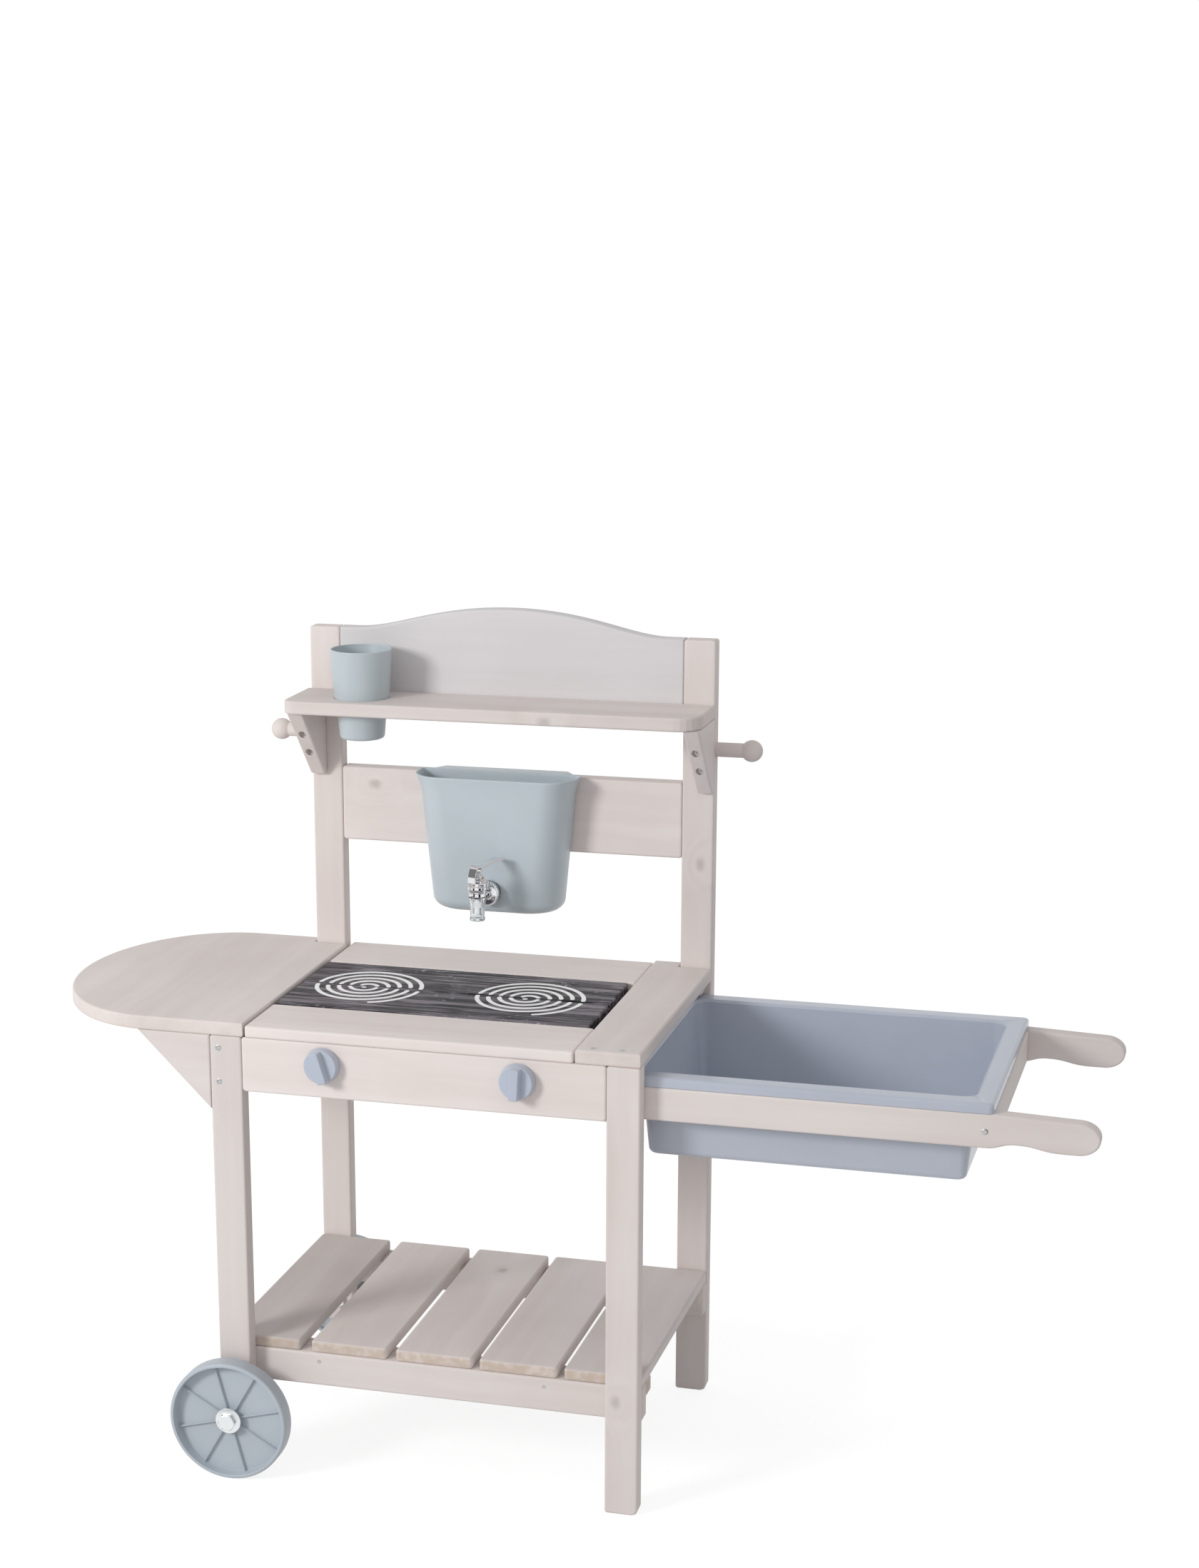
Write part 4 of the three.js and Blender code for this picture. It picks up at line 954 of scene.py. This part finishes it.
lever_hub = 0.0045
lever_pin = 0.002
lever_rise = 0.0165
lever_crown = 0.011
lever_bend = 0.008
lever_tail = 0.044
lever_tail_width = 0.0155
lever_root_share = 0.45
lever_soft = 0.0003
lever_steps = 10
blade_steps = 16
rod_soft = 0.0004
pin_soft = 0.0002
head_swivel = math.radians(22)
ear_plate = 0.0025
ear_play = 0.0003
ear_back = 0.008
ear_sink = 0.0008
ear_soft = 0.0004


def swivelled(point):
    """Matrix that puts the tap's head at a point, turned to its side."""
    return Matrix.Translation(point) @ Matrix.Rotation(-head_swivel, 4, "Z")


def make_tap():
    pivot = Vector(next(j for j in frame["joints"] if j["name"] == "lever_tilt")["pos_m"])
    axis = Vector((pivot.x, pivot.y, middle_of("tap_collar").z))
    make_tap_body(axis, pivot.z - axis.z)
    make_collar()
    shape = bmesh.new()
    add_turned(shape, spout_profile, (axis.x, axis.y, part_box("tap_spout")[0].z), sides=spout_sides,
               closed=True)
    standing_for("tap_spout", shape)
    make_lever(pivot)


def make_tap_body(axis, rise):
    """Barrel with a band and a tapered foot, the stem behind it, and two ears for the lever."""
    shape = bmesh.new()
    outline = [(ear_back, barrel_top - ear_sink)]
    outline += [(lever_hub * c, rise + lever_hub * s) for s, c in arc(angle=math.pi)]
    outline.append((-lever_hub, barrel_top - ear_sink))
    inner = lever_width / 2 + ear_play
    for start in (-inner - ear_plate, inner):
        soften(shape, add_prism(shape, outline, start, start + ear_plate), ear_soft)
    shape.transform(swivelled(axis) @ sideways)
    profile = [*barrel_profile]
    profile += [(barrel_radius - barrel_round * (1 - c), barrel_top - barrel_round * (1 - s))
                for s, c in arc(barrel_steps)]
    profile.append((core, barrel_top))
    add_turned(shape, profile, axis)
    for radius, end in ((neck_radius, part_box("tap_collar")[0].y - neck_gap),
                        (stem_radius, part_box("tap_body")[1].y)):
        add_turned(shape, [(radius, neck_start), (radius, end - axis.y)], axis, behind, neck_sides)
    standing_for("tap_body", shape)


def make_collar():
    """Knurled collar round the stem, with a turned face."""
    rings = []
    for radius, depth in collar_profile:
        ring = []
        for i, (x, z) in enumerate(circle(collar_sides)):
            dip = collar_knurl if radius == collar_radius and i % tooth_sides < tooth_sides / 2 else 0
            ring.append(((radius - dip) * x, depth, (radius - dip) * z))
        rings.append(ring)
    place = middle_of("tap_collar")
    place.x = middle_of("tap_spout").x
    place.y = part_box("tap_collar")[0].y
    shape = bmesh.new()
    add_skin(shape, rings, Matrix.Translation(place), closed=True)
    standing_for("tap_collar", shape)


def make_lever(pivot):
    """Lever: a leaning front plate with a rolled top, its hub, and a blade that bends back and widens."""
    shape = bmesh.new()
    place = swivelled(pivot)
    half = lever_plate / 2
    top = lever_lean - lever_front
    side = lever_width / 2
    inner = lever_plate - lever_front
    front = curve([(inner, -lever_foot), (inner, lever_top / 2), (top + lever_plate, lever_top)],
                  lever_steps)
    front += curve([(top, lever_top), (-lever_front, lever_top / 2), (-lever_front, -lever_foot)],
                   lever_steps)
    soften(shape, add_prism(shape, front, -side, side), lever_soft)
    shape.transform(place @ sideways)
    seat = [(half - lever_front, -half), (0, -half), (0, half), (half - lever_front, half)]
    add_prism(shape, seat, -side, side, place @ sideways)
    across = place.to_3x3() @ Vector((1, 0, 0))
    for radius, y, z, reach, soft in ((lever_roll, top + half, lever_top, side, rod_soft),
                                      (lever_hub, 0, 0, side, rod_soft),
                                      (lever_pin, 0, 0, side + ear_play + ear_plate, pin_soft)):
        rod = [(radius - soft, -reach), (radius, soft - reach)]
        rod += [(r, -height) for r, height in reversed(rod)]
        add_turned(shape, rod, place @ Vector((0, y, z)), across, rod_sides)
    under = lever_rise - lever_plate
    lower = curve([(half, 0), (half, lever_crown - lever_plate), (lever_bend + lever_plate, under),
                   (lever_tail, under)], blade_steps)
    upper = curve([(-half, 0), (-half, lever_crown), (lever_bend, lever_rise), (lever_tail, lever_rise)],
                  blade_steps)
    rings = []
    for (y0, z0), (y1, z1) in zip(lower, upper):
        share = lever_root_share + (1 - lever_root_share) * max(y0, 0) / lever_tail
        width = lever_tail_width / 2 * share
        rings.append([(-width, y0, z0), (width, y0, z0), (width, y1, z1), (-width, y1, z1)])
    add_skin(shape, rings, place)
    standing_for("tap_lever", shape)


make_tub()
make_tank()
make_cup()
make_knobs()
make_wheels()
make_pegs()
make_tap()

# Boards with curved outlines
board_round = 0.0024
board_steps = 4
bisector_limit = 0.5
notch_gap = 0.0015
leaf_round = 0.155
leaf_steps = 72
crest_rise = 0.029
crest_flat = 0.022
crest_ease_share = 0.25
crest_swell_share = 0.5
crest_steps = 28
handle_length = 0.116
handle_nose = 0.024
handle_dip = 0.0035
grip_start = 0.126
grip_peak = 0.092
grip_end = 0.040
grip_rise = 0.006
grip_steps = 14
nose_steps = 20
shoe_length = 0.038
stop_start = 0.0334
stop_drop = 0.010
stop_length = 0.020
stop_width = 0.0097


def offset_ring(outline, inset):
    """Outline drawn in by an inset along its corners' bisectors."""
    ring = []
    for i, point in enumerate(outline):
        before = (point - outline[i - 1]).normalized()
        after = (outline[(i + 1) % len(outline)] - point).normalized()
        normal = Vector((-before.y - after.y, before.x + after.x)).normalized()
        lean = max(normal.dot(Vector((-before.y, before.x))), bisector_limit)
        ring.append(point + normal * (inset / lean))
    return ring


def add_board(shape, outline, thickness, matrix):
    """Board with rounded edges from an anticlockwise outline, from zero up to its thickness."""
    points = [Vector(p) for p in outline]
    foot = [(board_round * (1 - s), board_round * (1 - c)) for s, c in arc(board_steps)]
    levels = foot + [(inset, thickness - height) for inset, height in reversed(foot)]
    rings = [[(p.x, p.y, height) for p in offset_ring(points, inset)] for inset, height in levels]
    add_skin(shape, rings, matrix)


def add_block(shape, low, high):
    """Plain block between two corners."""
    ring = [(low[0], low[1]), (high[0], low[1]), (high[0], high[1]), (low[0], high[1])]
    add_prism(shape, ring, low[2], high[2])


def make_leaf():
    """Leaf with a half-ellipse end, notched round the back post."""
    low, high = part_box("leaf_board")
    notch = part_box("post_back_left")[0] - Vector((notch_gap, notch_gap, 0))
    middle = (low.y + high.y) / 2
    straight = low.x + leaf_round
    outline = [(high.x, low.y), (high.x, notch.y), (notch.x, notch.y), (notch.x, high.y)]
    outline += [(straight - leaf_round * s, middle + (high.y - middle) * c)
                for s, c in arc(leaf_steps, math.pi)]
    shape = bmesh.new()
    add_board(shape, outline, high.z - low.z, Matrix.Translation((0, 0, low.z)))
    standing_for("leaf_board", shape)


def make_crest():
    """Crest board with its swelling top line."""
    low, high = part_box("crest_board")
    length = high.x - low.x
    top = high.z - low.z
    shoulder = top - crest_rise
    half = length / 2
    swell = half - crest_flat
    ease = swell * crest_ease_share
    flat = swell * crest_swell_share
    rise = curve([(half + swell, shoulder), (half + swell - ease, shoulder), (half + flat, top),
                  (half, top)], crest_steps)
    outline = [(0, 0), (length, 0), (length, shoulder), *rise]
    outline += [(length - x, z) for x, z in rise[-2::-1]]
    outline.append((0, shoulder))
    shape = bmesh.new()
    add_board(shape, outline, high.y - low.y, Matrix.Translation(low) @ upright)
    standing_for("crest_board", shape)


def rail_outline(length, height):
    """Side view of a tub rail: a straight bar, then a hollowed grip that thins a little to a round nose."""
    start, peak, end = length - grip_start, length - grip_peak, length - grip_end
    outline = [(0, 0), (start, 0)]
    for left, right, foot, top in ((start, peak, 0, grip_rise), (peak, end, grip_rise, 0)):
        middle = (left + right) / 2
        outline += curve([(left, foot), (middle, foot), (middle, top), (right, top)], grip_steps)[1:]
    half = (height - handle_dip) / 2
    outline += [(length - handle_nose * (1 - s), half - half * c) for s, c in arc(nose_steps, math.pi)]
    outline += [(length - handle_length, height), (0, height)]
    return outline


def make_rails():
    """Rails of the sliding tub, with the shoe above and the stop below their inner ends."""
    bottom, top = (corner.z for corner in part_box("crossbar_right"))
    for name in ("tub_rail_front", "tub_rail_back"):
        low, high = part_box(name)
        shape = bmesh.new()
        place = Matrix.Translation((low.x, low.y, bottom)) @ upright
        add_board(shape, rail_outline(high.x - low.x, top - bottom), high.y - low.y, place)
        left = low.x + board_round
        add_block(shape, (left, low.y, top - board_round), (left + shoe_length, high.y, high.z))
        left = low.x + stop_start
        inward = high.y - stop_width if name == "tub_rail_front" else low.y
        add_block(shape, (left, inward, bottom - stop_drop),
                  (left + stop_length, inward + stop_width, bottom + board_round))
        standing_for(name, shape)


make_leaf()
make_crest()
make_rails()

# Screws: radii, and the node that each is in, its place from that node's lowest corner, and its facing
screw_radius = 0.0040
rail_screw_radius = 0.0024
bracket_screw_radius = 0.0032
stand_screws = (
    ("leg_front_left", (0.011, 0, 0.495), ahead),
    ("leg_front_left", (0.011, 0, 0.453), ahead),
    ("lower_rail_front", (0.121, 0, 0.031), ahead),
    ("lower_rail_front", (0.404, 0, 0.031), ahead),
    ("end_board_right", (0.020, 0.011, 0.017), above),
    ("end_board_right", (0.054, 0.011, 0.017), above),
    ("end_board_right", (0.017, 0.394, 0.017), above),
    ("post_back_left", (0.011, 0.022, 0.495), behind),
    ("post_back_left", (0.011, 0.022, 0.453), behind),
)
# Shares of the radius and heights of the head's rings, and shares of the radius for the cross
head_rings = ((0.8, -0.0009), (1, 0), (0.86, 0.0004))
cross_reach_share = 0.62
cross_arm_share = 0.17
cross_foot_share = 0.7
cross_depth = 0.0014
screw_sides = 24
bracket_screw_drops = (0.032, 0.059)
bracket_foot = 0.008
bracket_seat = 0.013
plug_radius = 0.00485
plug_depth = 0.003
rail_screw_dip = 0.0005


def cross_outline(reach, half):
    """Twenty-four points round a cross, with the same turn as a circle of twenty-four points."""
    middle = (reach + half) / 2
    points = [(reach, 0), (reach, half), (middle, half), (half, half), (half, middle), (half, reach)]
    outline = []
    for _ in range(4):
        outline += points
        points = [(-y, x) for x, y in points]
    return outline


def screw(name, place, facing, body, radius=screw_radius):
    """Countersunk head with a cross recess, flush in the wood that it holds."""
    rings = [[(radius * share * x, radius * share * y, height) for x, y in circle(screw_sides)]
             for share, height in head_rings]
    cross = cross_outline(radius * cross_reach_share, radius * cross_arm_share)
    top = head_rings[-1][1]
    for share, height in ((1, top), (cross_foot_share, top - cross_depth)):
        rings.append([(x * share, y * share, height) for x, y in cross])
    shape = bmesh.new()
    add_skin(shape, rings, turned_to(place, facing))
    new_piece(name, shape, body, finishes["screw_zinc"])


def make_screws():
    for number, (name, offset, facing) in enumerate(stand_screws):
        radius = rail_screw_radius if name == "lower_rail_front" else screw_radius
        screw(f"stand_screw_{number + 1}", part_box(name)[0] + Vector(offset), facing, "stand", radius)
    for bracket in ("shelf_bracket_left", "shelf_bracket_right"):
        low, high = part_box(bracket)
        for number, drop in enumerate(bracket_screw_drops):
            slope = (high.y - low.y - bracket_foot) * (drop + plug_radius) / (high.z - low.z)
            place = Vector(((low.x + high.x) / 2, low.y + slope + plug_depth, high.z - drop))
            length = high.y - bracket_seat - place.y
            shape = bmesh.new()
            add_turned(shape, [(core, 0), (plug_radius, 0), (plug_radius, length), (core, length)], place,
                       behind, rod_sides)
            new_piece(f"{bracket}_plug_{number + 1}", shape, "stand", wood_of(bracket))
            screw(f"{bracket}_screw_{number + 1}", place, ahead, "stand", bracket_screw_radius)
    for name, corner, facing in (("tub_rail_front", 0, ahead), ("tub_rail_back", 1, behind)):
        place = middle_of("crossbar_right")
        place.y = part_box(name)[corner].y
        place.z -= rail_screw_dip
        screw(f"{name}_screw", place, facing, "sliding_tub")


# Hob spirals
spiral_radius = 0.0685
spiral_pitch = 0.0137
spiral_stroke = 0.0056
spiral_seam = 0.0034
spiral_core = 0.003
spiral_height = 0.0003
spiral_steps = 64
spiral_start = math.radians(-69)
spiral_places = (0.129, 0.335)
# Turns of the points of a stroke's round end
end_turns = tuple(math.radians(turn) for turn in (60, 30, 0, -30, -60))


def add_spiral(shape, centre, top, seam, side, clearance):
    """One half of the spiral on one board, as separate strokes with round ends that stop at the seam."""
    stroke = []
    for i in range(int(spiral_radius / spiral_pitch * spiral_steps) + 1):
        turn = spiral_start - math.tau * i / spiral_steps
        radius = spiral_core + spiral_pitch * i / spiral_steps
        x, y = radius * math.cos(turn), radius * math.sin(turn)
        if y * side > clearance:
            stroke.append(Vector((centre + x, seam + y)))
        else:
            add_stroke(shape, stroke, top)
            stroke = []
    add_stroke(shape, stroke, top)


def add_stroke(shape, path, top):
    """A flat stroke along the points, with round ends; two points are too few for one."""
    if len(path) < 3:
        return
    half = spiral_stroke / 2
    left, right = [], []
    for i, point in enumerate(path):
        onward = path[min(i + 1, len(path) - 1)] - path[max(i - 1, 0)]
        normal = Vector((-onward.y, onward.x)).normalized() * half
        left.append(point + normal)
        right.append(point - normal)
    ends = []
    for centre, heading in ((path[-1], path[-1] - path[-2]), (path[0], path[0] - path[1])):
        angle = math.atan2(heading.y, heading.x)
        ends.append([centre + half * Vector((math.cos(angle + turn), math.sin(angle + turn)))
                     for turn in end_turns])
    # The ring starts at the tip of the first end, so that its two sides pair up across the stroke
    tip = len(end_turns) // 2
    ring = ends[1][tip:] + left + ends[0] + right[::-1] + ends[1][:tip]
    low, high = ([shape.verts.new((*point, z)) for point in ring] for z in (top, top + spiral_height))
    for i in range(len(ring)):
        shape.faces.new((low[i - 1], low[i], high[i], high[i - 1]))
    for level in (low, high):
        for i in range(len(ring) // 2):
            across = dict.fromkeys((level[i], level[i + 1], level[-i - 1], level[-i]))
            shape.faces.new(tuple(across))


def make_spirals():
    front_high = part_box("hob_board_front")[1]
    back_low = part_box("hob_board_back")[0]
    seam = (front_high.y + back_low.y) / 2
    clearance = back_low.y - seam + spiral_seam
    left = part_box("leg_front_left")[0].x
    paint = finishes["hob_paint"]
    for name, side in (("hob_board_front", -1), ("hob_board_back", 1)):
        for number, x in enumerate(spiral_places):
            shape = bmesh.new()
            add_spiral(shape, left + x, front_high.z, seam, side, clearance)
            new_piece(f"{name}_spiral_{number + 1}", shape, body_of[name], paint)


make_screws()
make_spirals()
